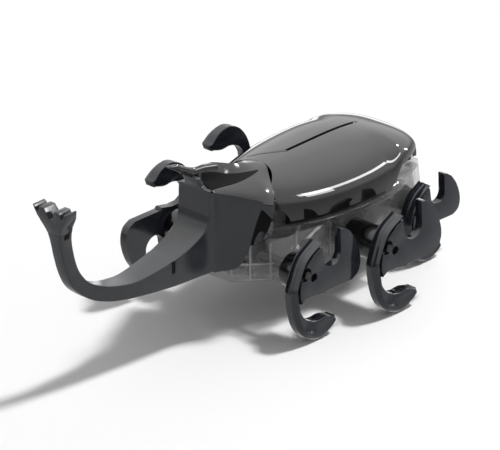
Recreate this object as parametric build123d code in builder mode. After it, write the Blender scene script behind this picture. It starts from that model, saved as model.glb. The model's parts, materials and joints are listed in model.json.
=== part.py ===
"""Horned beetle walking robot: a motor-driven pocket toy with six rotary hook legs.

Millimetres, +Z up, +X the robot's left, the robot faces -Y. The origin is on the ground, under
the middle of the whole robot. Along the body, places are given from the front axle (`along`).
"""

import math
import os

from build123d import *

# ---------------------------------------------------------------- driving dimensions
FRONT_AXLE_Y = 1.4  # front axle behind the origin
AXLE_PITCH = 22.0  # front axle to middle axle
REAR_PITCH = 23.6  # middle axle to rear axle
LEG_REACH = 15.2  # axle centre to the lowest point of a front or middle foot
REAR_LEG_SCALE = 0.79  # rear legs against the front ones

AXLE_RADIUS = 1.0
RUNNING_FIT = 0.05  # radial clearance of an axle or pin in a wheel or a wall
SEAT_FIT = 0.02  # radial clearance of pieces that are pushed together
GAP = 0.3  # clearance between pieces that move past each other

LEG_PLATE = 1.8  # thickness of a leg's flat part
LEG_HOOK = 2.8  # thickness of a leg's curved rim
LEG_FLANGE = 0.4  # how far the upper rim stands outside the plate
FRONT_LEG_FACE = 21.4  # outer face of a front leg's plate, from the middle plane
MIDDLE_LEG_FACE = 24.9
REAR_LEG_FACE = 11.9
HUB_RADIUS = 3.8
REAR_HUB_RADIUS = 3.2
HUB_BOSS_RADIUS = 2.9
LEG_PIN_RADIUS = 0.9
LEG_PIN_ALONG = -2.4
LEG_PIN_UP = 1.45
AXLE_RECESS = 0.8  # depth of the axle's end inside the leg

WALL = 1.2  # chassis and shell wall
FLOOR_HEIGHT = 8.6  # underside of the belly
DECK_TOP = 22.2  # parting plane between deck and wing shell
DECK_THICKNESS = 1.4
FRONT_BOSS_END = 14.3
MIDDLE_HALF_WIDTH = 12.5
REAR_HALF_WIDTH = 8.2
REAR_FLOOR_HEIGHT = 5.5
REAR_BOX_START = 31.5
TAIL_CORNER = 4.0
BOSS_RADIUS = 3.6
NOSE_TOP = 15.5
BELLY_FRONT = 2.8  # where the deep belly starts, behind the raised nose
BELLY_CORNER = (3.6, 8.6)  # its near corner is cut from this far across to this far along
WELL_WALL = 0.6  # thin wall of the well for the front gear

SHELL_FRONT = 1.6
SHELL_WIDEST = 27.0
SHELL_HALF_WIDTH = 14.9
SHELL_END = 51.3
SHELL_FRONT_REACH = 31.7
SHELL_CREST = 22.0  # the ridge is level up to here
SHELL_FULLNESS = 2.8  # 2 would be an ellipse
SHELL_STATIONS = 9
SHELL_TAIL_ANGLE = 12.0  # last station before the tail, in degrees
SHELL_RISE = 11.4
GROOVE_WIDTH = 0.8
GROOVE_DEPTH = 0.7

GEAR_MODULE = 0.5
AXLE_TEETH = 16
FRONT_IDLER_TEETH = 30
REAR_IDLER_TEETH = 38
COMPOUND_WHEEL_TEETH = 28
COMPOUND_PINION_TEETH = 10
MOTOR_PINION_TEETH = 8
TOOTH_SHARE = 0.40  # tooth thickness on the pitch circle, as a share of the tooth pitch
ADDENDUM = 0.75
DEDENDUM = 1.15
COMPOUND_HEIGHT = 23.8
MOTOR_HEIGHT = 20.0
TRAIN_X = 3.7  # first face of the axle gears and idlers
TRAIN_WIDTH = 1.6
REDUCTION_X = 1.9  # first face of the motor's reduction pair
REDUCTION_WIDTH = 1.4
GEAR_PLATE_X = 5.8
GEAR_PLATE_THICKNESS = 1.0
GEAR_PIN_RADIUS = 0.75

MOTOR_RADIUS = 4.0
MOTOR_LENGTH = 6.6
MOTOR_FRONT_X = 1.2
MOTOR_CAP = 1.4
MOTOR_WALL = 0.4
MOTOR_BEARING = 0.8
MOTOR_CORE_RADIUS = 3.0
MOTOR_SHAFT_RADIUS = 0.5

CELL_RADIUS = 5.8
CELL_THICKNESS = 5.4
CELL_COUNT = 2
CELL_ALONG = 11.0
CELL_STACK_X = 0.0  # inner end of the cell stack
HOLDER_WALL = 1.0
CONTACT_ROOM = 0.6
DOOR_THICKNESS = 1.2
SCREW_RADIUS = 0.8
SCREW_HEAD_RADIUS = 1.5
SCREW_HEAD = 0.8
SCREW_LENGTH = 6.0
DOOR_SCREW_HEAD = 0.5
DOOR_SCREW_LENGTH = 2.8
TAB_RECESS = 1.0  # depth of the pocket for the door's screw tab
TAB_THICKNESS = 0.48
TAB_OVERLAP = 1.2  # how far the tab reaches over the door's raised middle
TAB_WIDTH = 3.6
TAB_LENGTH = 4.2
BOARD_THICKNESS = 0.8
BOARD_SIZE = (5.2, 10.0)
BOARD_PLACE = (-10.1, 22.6)
LEAD_RADIUS = 0.35
LEAD_BEND = 1.0
LEAD_PLACES = ((-8.0, 28.8), (-9.1, 29.7))  # where each lead goes down, across and along
LEAD_HOLE = (-8.5, 29.2, 2.6, 2.6)  # centre across and along, width and length
POST_PLACES = ((9.2, 25.6), (-9.2, 25.6))
POST_RADIUS = 1.9

SWITCH_X = -3.6
SWITCH_ALONG = 24.9
SWITCH_SIZE = (3.6, 5.6)
SWITCH_CLEARANCE = 1.0  # under the middle axle
SWITCH_TRAVEL = 2.0
KNOB_SIZE = (1.6, 1.6, 3.0)

HEAD_FRONT = -13.2
HEAD_REAR = -1.6
HEAD_BOTTOM = 15.8
HEAD_TOP = 34.4
HEAD_REAR_TOP = 29.6
HORN_BASE_HALF_WIDTH = 4.4
SLIDE_FACE = -14.6
COLLAR_TOP = 29.4
COLLAR_REAR = 2.6
COLLAR_SHOULDER = 1.2

# ---------------------------------------------------------------- worked-out places
AXLE_HEIGHT = LEG_REACH
REAR_AXLE_HEIGHT = LEG_REACH * REAR_LEG_SCALE
FRONT_AXLE = (0.0, AXLE_HEIGHT)
MIDDLE_AXLE = (AXLE_PITCH, AXLE_HEIGHT)
REAR_AXLE = (AXLE_PITCH + REAR_PITCH, REAR_AXLE_HEIGHT)
REAR_SWEEP = 15.4 * REAR_LEG_SCALE + GAP
CELL_HEIGHT = FLOOR_HEIGHT + WALL + 0.6 + CELL_RADIUS
CELL_STACK = CELL_THICKNESS * CELL_COUNT
FLOOR_TOP = FLOOR_HEIGHT + WALL
DECK_BOTTOM = DECK_TOP - DECK_THICKNESS
NOSE_FLOOR_HEIGHT = AXLE_HEIGHT - BOSS_RADIUS
NOSE_FLOOR_TOP = NOSE_FLOOR_HEIGHT + WALL
DOOR_WIDTH = CELL_STACK + 1.2
DOOR_LENGTH = 2 * CELL_RADIUS + 1.2
DOOR_MIDDLE = CELL_STACK_X - CELL_STACK / 2
TAB_BOTTOM = FLOOR_HEIGHT + TAB_RECESS - SEAT_FIT - TAB_THICKNESS
TAB_ALONG = CELL_ALONG + (DOOR_LENGTH + TAB_LENGTH - TAB_OVERLAP) / 2
DOOR_SCREW = (DOOR_MIDDLE, CELL_ALONG + DOOR_LENGTH / 2 + TAB_LENGTH - TAB_WIDTH / 2)


def pitch_radius(teeth):
    return GEAR_MODULE * teeth / 2


def between(first, second, first_reach, second_reach):
    """The upper point at the two given distances from two centres in the side view."""
    gap_along = second[0] - first[0]
    gap_up = second[1] - first[1]
    distance = math.hypot(gap_along, gap_up)
    part = (first_reach**2 - second_reach**2 + distance**2) / (2 * distance)
    rise = math.sqrt(first_reach**2 - part**2)
    return (
        first[0] + (gap_along * part - gap_up * rise) / distance,
        first[1] + (gap_up * part + gap_along * rise) / distance,
    )


FRONT_REACH = pitch_radius(AXLE_TEETH + FRONT_IDLER_TEETH)
REAR_REACH = pitch_radius(AXLE_TEETH + REAR_IDLER_TEETH)
FRONT_IDLER = between(FRONT_AXLE, MIDDLE_AXLE, FRONT_REACH, FRONT_REACH)
REAR_IDLER = between(MIDDLE_AXLE, REAR_AXLE, REAR_REACH, REAR_REACH)
CHASSIS_END = REAR_AXLE[0] + pitch_radius(AXLE_TEETH) + ADDENDUM * GEAR_MODULE + GAP + WALL
COMPOUND_DROP = COMPOUND_HEIGHT - REAR_IDLER[1]
COMPOUND_REACH = pitch_radius(REAR_IDLER_TEETH + COMPOUND_PINION_TEETH)
COMPOUND = (REAR_IDLER[0] - math.sqrt(COMPOUND_REACH**2 - COMPOUND_DROP**2), COMPOUND_HEIGHT)
MOTOR_REACH = pitch_radius(COMPOUND_WHEEL_TEETH + MOTOR_PINION_TEETH)
MOTOR_DROP = COMPOUND_HEIGHT - MOTOR_HEIGHT
MOTOR = (COMPOUND[0] + math.sqrt(MOTOR_REACH**2 - MOTOR_DROP**2), MOTOR_HEIGHT)


def side_plane(x=0.0, along=0.0, height=0.0):
    """A plane facing +X, with its own x towards the tail and its own y up."""
    return Plane(origin=(x, FRONT_AXLE_Y + along, height), x_dir=(0, 1, 0), z_dir=(1, 0, 0))


def cross_plane(along):
    """A plane facing the tail, with its own x to the right side mirrored out and y up."""
    return Plane(origin=(0, FRONT_AXLE_Y + along, 0), x_dir=(-1, 0, 0), z_dir=(0, 1, 0))


def flat_plane(height):
    return Plane(origin=(0, FRONT_AXLE_Y, height), x_dir=(1, 0, 0), z_dir=(0, 0, 1))


def save(part, name):
    part.label = name
    export_step(part, f"parts/{name}.step")


# ---------------------------------------------------------------- legs, hubs and axles
RIM_OUTER = [(1.6, 8.0), (-3.4, 4.9), (-6.2, -1.0), (-5.9, -6.5), (-3.4, -12.3)]
FOOT = [(-3.4, -12.3), (1.6, -LEG_REACH), (7.3, -12.4)]
FOOT_INNER = [(6.3, -10.7), (1.9, -10.1), (-3.0, -8.0), (-3.9, -5.0)]
PLATE_EDGE = [(-3.9, -5.0), (-2.4, -4.2), (0.3, -4.2), (3.5, -4.9), (3.8, -4.4), (12.0, -4.5)]
PLATE_TAIL = [(12.0, -4.5), (14.6, -2.4), (14.0, 2.5), (11.4, 7.2)]
PRONG = [(11.4, 7.2), (9.6, 8.5), (8.3, 8.8), (8.5, 3.4)]
NOTCH = [(8.5, 3.4), (5.7, 0.9), (2.9, 3.6)]
RIM_INNER = [(3.2, 6.4), (-1.4, 3.0), (-3.9, -1.5), (-3.9, -5.0)]


def scaled(points, factor):
    return [(factor * along, factor * up) for along, up in points]


def leg(axle, face, scale, side):
    """One hook leg. The right side's legs stand half a turn from the left side's."""
    size = scale * side
    rim_top = scaled([RIM_INNER[0]], size)[0]
    with BuildPart() as piece:
        with BuildSketch(side_plane(side * (face - LEG_PLATE), *axle)) as plate:
            with BuildLine():
                Spline(*scaled(RIM_OUTER, size))
                ThreePointArc(*scaled(FOOT, size))
                Line(*scaled([FOOT[-1], FOOT_INNER[0]], size))
                Spline(*scaled(FOOT_INNER, size))
                Polyline(*scaled(PLATE_EDGE, size))
                Spline(*scaled(PLATE_TAIL, size))
                Polyline(*scaled(PRONG, size))
                ThreePointArc(*scaled(NOTCH, size))
                Polyline(scaled([NOTCH[-1]], size)[0], rim_top, scaled([RIM_OUTER[0]], size)[0])
            make_face()
        extrude(amount=side * LEG_PLATE)
        with BuildSketch(side_plane(side * (face - LEG_HOOK), *axle)) as rim:
            with BuildLine():
                Spline(*scaled(RIM_OUTER, size))
                ThreePointArc(*scaled(FOOT, size))
                Line(*scaled([FOOT[-1], FOOT_INNER[0]], size))
                Spline(*scaled(FOOT_INNER, size))
                Spline(*scaled(RIM_INNER[::-1], size))
                Line(rim_top, scaled([RIM_OUTER[0]], size)[0])
            make_face()
        extrude(amount=side * LEG_HOOK)
        with BuildSketch(side_plane(side * face, *axle)):
            with BuildLine():
                Spline(*scaled(RIM_OUTER, size))
                Line(*scaled([RIM_OUTER[-1], (-3.3, -9.0)], size))
                Spline(*scaled([(-3.3, -9.0), (-4.9, -4.5), (-4.6, -0.9), (-1.9, 3.9), (2.2, 7.2)], size))
                Line(*scaled([(2.2, 7.2), RIM_OUTER[0]], size))
            make_face()
        extrude(amount=side * LEG_FLANGE)
        with Locations(side_plane(side * face, *axle)):
            Cylinder(AXLE_RADIUS, 3 * LEG_HOOK, mode=Mode.SUBTRACT)
        with Locations(side_plane(side * face, *leg_pin(axle, side))):
            Cylinder(LEG_PIN_RADIUS, 3 * LEG_HOOK, mode=Mode.SUBTRACT)
    return piece.part


def leg_pin(axle, side):
    return (axle[0] + side * LEG_PIN_ALONG, axle[1] + side * LEG_PIN_UP)


def hub(axle, start, face, radius, scale, side):
    """Black drum between chassis and leg, with the peg that keys the leg to it."""
    shoulder = face - LEG_HOOK - SEAT_FIT
    with BuildPart() as piece:
        with BuildSketch(side_plane(side * start, *axle)):
            Circle(radius)
        extrude(amount=side * (shoulder - start))
        with BuildSketch(side_plane(side * shoulder, *axle)):
            Circle(HUB_BOSS_RADIUS * scale)
        extrude(amount=side * (face - LEG_PLATE - shoulder))
        with BuildSketch(side_plane(side * shoulder, *leg_pin(axle, side))):
            Circle(LEG_PIN_RADIUS - SEAT_FIT)
        extrude(amount=side * (face + LEG_FLANGE - shoulder))
        with Locations(side_plane(side * start, *axle)):
            Cylinder(AXLE_RADIUS, 4 * (face - start), mode=Mode.SUBTRACT)
    return piece.part


def axle_rod(axle, face):
    length = 2 * (face - AXLE_RECESS)
    with BuildPart() as rod:
        with BuildSketch(side_plane(-length / 2, *axle)):
            Circle(AXLE_RADIUS - SEAT_FIT)
        extrude(amount=length)
    return rod.part


# ---------------------------------------------------------------- gear train
def gear_outline(teeth, phase):
    """Tooth flanks follow the involute of a 20 degree gear at root, pitch circle and tip."""
    pitch = pitch_radius(teeth)
    base = pitch * math.cos(math.radians(20))
    tip = pitch + ADDENDUM * GEAR_MODULE
    root = pitch - DEDENDUM * GEAR_MODULE

    def half_angle(radius):
        def involute(r):
            press = math.acos(base / max(r, base))
            return math.tan(press) - press

        return TOOTH_SHARE * math.pi / teeth + involute(pitch) - involute(radius)

    flank = []
    for radius in (root - 0.1, max(base, root), pitch, (pitch + tip) / 2, tip):
        angle = half_angle(radius)
        flank.append((radius * math.cos(angle), radius * math.sin(angle)))
    tooth = flank + [(x, -y) for x, y in reversed(flank)]
    Circle(root)
    with PolarLocations(0, teeth, start_angle=math.degrees(phase)):
        Polygon(*tooth, align=None)


def meshed(teeth, centre, phase, next_teeth, next_centre):
    """The next gear's phase, so that its gap faces this gear's tooth."""
    direction = math.atan2(next_centre[1] - centre[1], next_centre[0] - centre[0])
    turned = teeth * (direction - phase) / (2 * math.pi)
    return direction + math.pi - (2 * math.pi / next_teeth) * (0.5 - turned)


def gear(teeth, centre, phase, x, width, bore):
    with BuildPart() as wheel:
        with BuildSketch(side_plane(x, *centre)):
            gear_outline(teeth, phase)
            Circle(bore, mode=Mode.SUBTRACT)
        extrude(amount=width)
    return wheel.part


MIDDLE_PHASE = 0.0
FRONT_IDLER_PHASE = meshed(AXLE_TEETH, MIDDLE_AXLE, MIDDLE_PHASE, FRONT_IDLER_TEETH, FRONT_IDLER)
FRONT_PHASE = meshed(FRONT_IDLER_TEETH, FRONT_IDLER, FRONT_IDLER_PHASE, AXLE_TEETH, FRONT_AXLE)
REAR_IDLER_PHASE = meshed(AXLE_TEETH, MIDDLE_AXLE, MIDDLE_PHASE, REAR_IDLER_TEETH, REAR_IDLER)
REAR_PHASE = meshed(REAR_IDLER_TEETH, REAR_IDLER, REAR_IDLER_PHASE, AXLE_TEETH, REAR_AXLE)
COMPOUND_PHASE = meshed(
    REAR_IDLER_TEETH, REAR_IDLER, REAR_IDLER_PHASE, COMPOUND_PINION_TEETH, COMPOUND
)
MOTOR_PHASE = meshed(
    COMPOUND_WHEEL_TEETH, COMPOUND, COMPOUND_PHASE, MOTOR_PINION_TEETH, MOTOR
)


def compound_gear():
    with BuildPart() as wheel:
        with BuildSketch(side_plane(REDUCTION_X, *COMPOUND)):
            gear_outline(COMPOUND_WHEEL_TEETH, COMPOUND_PHASE)
        extrude(amount=REDUCTION_WIDTH)
        with BuildSketch(side_plane(REDUCTION_X + REDUCTION_WIDTH, *COMPOUND)):
            gear_outline(COMPOUND_PINION_TEETH, COMPOUND_PHASE)
        extrude(amount=TRAIN_X + TRAIN_WIDTH - REDUCTION_X - REDUCTION_WIDTH)
        with Locations(side_plane(REDUCTION_X, *COMPOUND)):
            Cylinder(GEAR_PIN_RADIUS + RUNNING_FIT, 20, mode=Mode.SUBTRACT)
    return wheel.part


def gear_pins():
    """Steel pins that carry the idlers and the compound gear, fixed in the gear plate."""
    end = GEAR_PLATE_X + GEAR_PLATE_THICKNESS
    with BuildPart() as pins:
        for centre, start in (
            (FRONT_IDLER, TRAIN_X - GAP),
            (REAR_IDLER, TRAIN_X - GAP),
            (COMPOUND, REDUCTION_X - GAP),
        ):
            with BuildSketch(side_plane(start, *centre)):
                Circle(GEAR_PIN_RADIUS)
            extrude(amount=end - start)
    return pins.part


def gear_plate():
    """Clear side plate of the gearbox, with running holes for axles and seats for the pins."""
    foot = BELLY_FRONT + 4.6
    outline = [
        (-4.0, NOSE_FLOOR_TOP),
        (foot, NOSE_FLOOR_TOP),
        (foot, FLOOR_TOP),
        (REAR_BOX_START + WALL, FLOOR_TOP),
        (REAR_BOX_START + WALL, REAR_FLOOR_HEIGHT + WALL),
        (REAR_AXLE[0] + 2.4, REAR_FLOOR_HEIGHT + WALL),
        (REAR_AXLE[0] + 2.4, AXLE_HEIGHT),
        (REAR_IDLER[0] + 3.0, REAR_IDLER[1] + 3.0),
        (COMPOUND[0] + 2.0, COMPOUND[1] + 3.0),
        (COMPOUND[0] - 3.0, COMPOUND[1] + 2.0),
        (FRONT_IDLER[0] + 1.0, FRONT_IDLER[1] + 3.0),
        (-4.0, AXLE_HEIGHT + 3.0),
    ]
    with BuildPart() as plate:
        with BuildSketch(side_plane(GEAR_PLATE_X)):
            with BuildLine():
                Polyline(*outline, close=True)
            make_face()
            for centre in (FRONT_AXLE, MIDDLE_AXLE, REAR_AXLE):
                with Locations(centre):
                    Circle(AXLE_RADIUS + RUNNING_FIT, mode=Mode.SUBTRACT)
            for centre in (FRONT_IDLER, REAR_IDLER, COMPOUND):
                with Locations(centre):
                    Circle(GEAR_PIN_RADIUS + SEAT_FIT, mode=Mode.SUBTRACT)
        extrude(amount=GEAR_PLATE_THICKNESS)
    return plate.part


# ---------------------------------------------------------------- motor
def motor_can():
    """Steel cup, closed towards the gears."""
    with BuildPart() as can:
        with BuildSketch(side_plane(MOTOR_FRONT_X - MOTOR_LENGTH, *MOTOR)):
            Circle(MOTOR_RADIUS)
        extrude(amount=MOTOR_LENGTH)
        fillet(can.faces().sort_by(Axis.X)[-1].outer_wire().edges(), 0.5)
        with BuildSketch(side_plane(MOTOR_FRONT_X - MOTOR_LENGTH, *MOTOR)):
            Circle(MOTOR_RADIUS - MOTOR_WALL)
        extrude(amount=MOTOR_LENGTH - MOTOR_WALL, mode=Mode.SUBTRACT)
        with BuildSketch(side_plane(MOTOR_FRONT_X - MOTOR_LENGTH, *MOTOR)):
            Circle(MOTOR_SHAFT_RADIUS + RUNNING_FIT)
        extrude(amount=MOTOR_LENGTH, mode=Mode.SUBTRACT)
    return can.part


def motor_cap():
    """Plastic end cap with the rear bearing hole."""
    with BuildPart() as cap:
        with BuildSketch(side_plane(MOTOR_FRONT_X - MOTOR_LENGTH, *MOTOR)):
            Circle(MOTOR_RADIUS - 0.2)
        extrude(amount=-MOTOR_CAP)
        with BuildSketch(side_plane(MOTOR_FRONT_X - MOTOR_LENGTH, *MOTOR)):
            Circle(MOTOR_SHAFT_RADIUS + RUNNING_FIT)
        extrude(amount=-MOTOR_BEARING - GAP, mode=Mode.SUBTRACT)
    return cap.part


def motor_shaft():
    start = MOTOR_FRONT_X - MOTOR_LENGTH - MOTOR_BEARING
    with BuildPart() as shaft:
        with BuildSketch(side_plane(start, *MOTOR)):
            Circle(MOTOR_SHAFT_RADIUS)
        extrude(amount=REDUCTION_X + REDUCTION_WIDTH - start)
    return shaft.part


def motor_core():
    """Three-pole armature that turns inside the can."""
    length = MOTOR_LENGTH - 2 * MOTOR_WALL - 2 * GAP
    with BuildPart() as core:
        with BuildSketch(side_plane(MOTOR_FRONT_X - MOTOR_WALL - GAP - length, *MOTOR)):
            Circle(MOTOR_CORE_RADIUS)
            with PolarLocations(MOTOR_CORE_RADIUS, 3):
                Rectangle(MOTOR_CORE_RADIUS, 0.8, mode=Mode.SUBTRACT)
            Circle(MOTOR_SHAFT_RADIUS + SEAT_FIT, mode=Mode.SUBTRACT)
        extrude(amount=length)
    return core.part


def motor_cradle():
    """Black saddle that holds the motor over the belly floor."""
    bottom = FLOOR_TOP
    start = MOTOR_FRONT_X - MOTOR_LENGTH + GAP
    with BuildPart() as cradle:
        with BuildSketch(side_plane(start)):
            with Locations((MOTOR[0], (bottom + MOTOR_HEIGHT) / 2)):
                Rectangle(2 * MOTOR_RADIUS - 1.0, MOTOR_HEIGHT - bottom)
            with Locations(MOTOR):
                Circle(MOTOR_RADIUS + SEAT_FIT, mode=Mode.SUBTRACT)
            with Locations((MOTOR[0], bottom + 2.4)):
                Rectangle(2 * MOTOR_RADIUS - 3.4, 2.6, mode=Mode.SUBTRACT)
        extrude(amount=MOTOR_LENGTH - 1.6)
    return cradle.part


# ---------------------------------------------------------------- chassis
def egg_half_width(along):
    """Half-width of the wing shell: two half-ellipses that meet at its widest place."""
    if along < SHELL_WIDEST:
        reach = SHELL_FRONT_REACH
    else:
        reach = SHELL_END - SHELL_WIDEST
    share = min(1.0, abs(along - SHELL_WIDEST) / reach)
    return SHELL_HALF_WIDTH * math.sqrt(max(0.0, 1 - share**2))


def egg_height(along):
    """Height of the wing shell's ridge above its rim."""
    share = max(0.0, along - SHELL_CREST) / (SHELL_END - SHELL_CREST)
    return SHELL_RISE * math.sqrt(max(0.0, 1 - min(1.0, share) ** 3))


def rear_sweep_rings():
    """The space that the rear legs sweep, on both sides."""
    inner = REAR_LEG_FACE - LEG_HOOK - GAP - 0.2
    outer = REAR_LEG_FACE + LEG_FLANGE + GAP
    with BuildPart() as rings:
        for side in (1, -1):
            with BuildSketch(side_plane(side * inner, *REAR_AXLE)):
                Circle(REAR_SWEEP)
            extrude(amount=side * (outer - inner))
    return rings.part


def nose_outline(inset):
    """Plan of the lower chassis, from nose to the middle legs."""
    half = [
        (4.6 - inset * 0.6, -8.0 + inset),
        (10.4 - inset, -1.6 + inset * 0.4),
        (MIDDLE_HALF_WIDTH - inset, 2.4),
    ]
    return half, [(-x, y) for x, y in reversed(half)]


def tub_outline(inset, end):
    left, right = nose_outline(inset)
    wide = MIDDLE_HALF_WIDTH - inset
    return left + [(wide, end - inset), (-wide, end - inset)] + right


def belly_outline(inset, end):
    """Plan of the deep part of the belly."""
    wide = MIDDLE_HALF_WIDTH - inset
    across, along = BELLY_CORNER
    start = BELLY_FRONT + inset
    return [
        (across - inset / 2, start),
        (wide, along + inset / 2),
        (wide, end - inset),
        (-wide, end - inset),
        (-wide, start),
    ]


def gear_well(wall):
    """Room for the front axle's gear below the nose floor; `wall` grows it to its outside."""
    gear = pitch_radius(AXLE_TEETH) + ADDENDUM * GEAR_MODULE
    wide = TRAIN_WIDTH + GAP + 2 * wall
    with BuildPart() as well:
        with BuildSketch(side_plane(TRAIN_X + TRAIN_WIDTH / 2 - wide / 2, *FRONT_AXLE)):
            Circle(gear + GAP + wall)
            with Locations((0, BOSS_RADIUS + WALL)):
                Rectangle(4 * BOSS_RADIUS, 4 * BOSS_RADIUS, mode=Mode.SUBTRACT)
        extrude(amount=wide)
    return well.part


def tail_outline(inset, start):
    """Plan of the rear gearbox, with its two rear corners taken off."""
    wide = REAR_HALF_WIDTH - inset
    end = CHASSIS_END - inset
    corner = end - TAIL_CORNER + inset
    left = [(wide, start), (wide, corner), (wide - 1.2, end)]
    return left + [(-x, y) for x, y in reversed(left)]


def chassis_tub():
    """Clear belly tub. It carries the three axles, the motor, the cells and the switch."""
    wide_end = REAR_BOX_START + 2.0
    with BuildPart() as tub:
        with BuildSketch(flat_plane(NOSE_FLOOR_HEIGHT)):
            with BuildLine():
                Polyline(*tub_outline(0.0, wide_end), close=True)
            make_face()
        extrude(amount=DECK_BOTTOM - NOSE_FLOOR_HEIGHT)
        with BuildSketch(flat_plane(FLOOR_HEIGHT)):
            with BuildLine():
                Polyline(*belly_outline(0.0, wide_end), close=True)
            make_face()
        extrude(amount=NOSE_FLOOR_TOP - FLOOR_HEIGHT)
        with BuildSketch(flat_plane(REAR_FLOOR_HEIGHT)):
            with BuildLine():
                Polyline(*tail_outline(0.0, REAR_BOX_START), close=True)
            make_face()
        extrude(amount=DECK_BOTTOM - REAR_FLOOR_HEIGHT)
        add(rear_sweep_rings(), mode=Mode.SUBTRACT)
        with BuildSketch(side_plane(-30)):
            with Locations((-30 + HEAD_REAR, NOSE_TOP + 20)):
                Rectangle(60, 40)
        extrude(amount=60, mode=Mode.SUBTRACT)
        for centre, end in ((FRONT_AXLE, FRONT_BOSS_END), (MIDDLE_AXLE, MIDDLE_HALF_WIDTH)):
            with BuildSketch(side_plane(-end, *centre)):
                Circle(BOSS_RADIUS)
            extrude(amount=2 * end)
        with BuildSketch(flat_plane(NOSE_FLOOR_TOP)):
            with BuildLine():
                Polyline(*tub_outline(WALL, REAR_BOX_START), close=True)
            make_face()
        extrude(amount=DECK_BOTTOM - NOSE_FLOOR_TOP, mode=Mode.SUBTRACT)
        with BuildSketch(flat_plane(FLOOR_TOP)):
            with BuildLine():
                Polyline(*belly_outline(WALL, REAR_BOX_START), close=True)
            make_face()
            with BuildLine():
                Polyline(*tail_outline(WALL, REAR_BOX_START - 2 * WALL), close=True)
            make_face()
        extrude(amount=DECK_BOTTOM - FLOOR_TOP, mode=Mode.SUBTRACT)
        add(gear_well(WELL_WALL))
        add(gear_well(0.0), mode=Mode.SUBTRACT)
        with BuildSketch(flat_plane(REAR_FLOOR_HEIGHT + WALL)):
            with BuildLine():
                Polyline(*tail_outline(WALL, REAR_BOX_START + WALL), close=True)
            make_face()
        extrude(amount=FLOOR_TOP - REAR_FLOOR_HEIGHT - WALL, mode=Mode.SUBTRACT)
        with BuildSketch(flat_plane(FLOOR_TOP)):
            with Locations(DOOR_SCREW):
                Circle(TAB_WIDTH / 2)
        extrude(amount=DOOR_SCREW_LENGTH)
        for centre in (FRONT_AXLE, MIDDLE_AXLE, REAR_AXLE):
            with BuildSketch(side_plane(-20, *centre)):
                Circle(AXLE_RADIUS + RUNNING_FIT)
            extrude(amount=40, mode=Mode.SUBTRACT)
        with BuildSketch(flat_plane(FLOOR_HEIGHT)):
            with Locations((DOOR_MIDDLE, CELL_ALONG)):
                Rectangle(DOOR_WIDTH - 1.6, DOOR_LENGTH - 1.6)
            with Locations((SWITCH_X, SWITCH_ALONG)):
                Rectangle(KNOB_SIZE[0] + 2 * GAP, KNOB_SIZE[1] + SWITCH_TRAVEL + 2 * GAP)
            with Locations(*POST_PLACES):
                Circle(SCREW_RADIUS + RUNNING_FIT)
        extrude(amount=WALL, mode=Mode.SUBTRACT)
        with BuildSketch(flat_plane(FLOOR_HEIGHT)):
            with Locations(*POST_PLACES):
                Circle(SCREW_HEAD_RADIUS + RUNNING_FIT)
        extrude(amount=SCREW_HEAD + SEAT_FIT, mode=Mode.SUBTRACT)
        with BuildSketch(flat_plane(FLOOR_HEIGHT)):
            with Locations((DOOR_MIDDLE, CELL_ALONG)):
                Rectangle(DOOR_WIDTH + 0.2, DOOR_LENGTH + 0.2)
        extrude(amount=DOOR_THICKNESS / 2, mode=Mode.SUBTRACT)
        with BuildSketch(flat_plane(FLOOR_HEIGHT)):
            with Locations((DOOR_MIDDLE, TAB_ALONG)):
                Rectangle(TAB_WIDTH + 0.2, TAB_LENGTH + TAB_OVERLAP + 0.2)
        extrude(amount=TAB_RECESS, mode=Mode.SUBTRACT)
        with BuildSketch(flat_plane(FLOOR_HEIGHT)):
            with Locations(DOOR_SCREW):
                Circle(SCREW_RADIUS + SEAT_FIT)
        extrude(amount=WALL + DOOR_SCREW_LENGTH, mode=Mode.SUBTRACT)
    return tub.part


def battery_door():
    """Belly door with a stepped edge, and a tab at its tail end for the screw."""
    lip = DOOR_THICKNESS / 2
    with BuildPart() as door:
        with BuildSketch(flat_plane(FLOOR_HEIGHT)):
            with Locations((DOOR_MIDDLE, CELL_ALONG)):
                Rectangle(DOOR_WIDTH, DOOR_LENGTH)
        extrude(amount=lip)
        with BuildSketch(flat_plane(FLOOR_HEIGHT + lip)):
            with Locations((DOOR_MIDDLE, CELL_ALONG)):
                Rectangle(DOOR_WIDTH - 1.8, DOOR_LENGTH - 1.8)
        extrude(amount=DOOR_THICKNESS - lip)
        with BuildSketch(flat_plane(TAB_BOTTOM)):
            with Locations((DOOR_MIDDLE, TAB_ALONG)):
                Rectangle(TAB_WIDTH, TAB_LENGTH + TAB_OVERLAP)
        extrude(amount=TAB_THICKNESS)
        with BuildSketch(flat_plane(FLOOR_HEIGHT)):
            with Locations(DOOR_SCREW):
                Circle(SCREW_RADIUS + RUNNING_FIT)
        extrude(amount=DOOR_THICKNESS, mode=Mode.SUBTRACT)
    return door.part


def cells():
    """Button cells, side by side across the body, each with its smaller negative cap."""
    stack = []
    for index in range(CELL_COUNT):
        start = CELL_STACK_X - index * CELL_THICKNESS
        with BuildPart() as cell:
            with BuildSketch(side_plane(start - CELL_THICKNESS, CELL_ALONG, CELL_HEIGHT)):
                Circle(CELL_RADIUS)
            extrude(amount=CELL_THICKNESS - 0.4)
            with BuildSketch(side_plane(start - 0.4, CELL_ALONG, CELL_HEIGHT)):
                Circle(CELL_RADIUS - 1.1)
            extrude(amount=0.4)
            fillet(cell.edges().filter_by(GeomType.CIRCLE).sort_by(Axis.X)[0], 0.4)
        stack.append(cell.part)
    return stack


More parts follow.
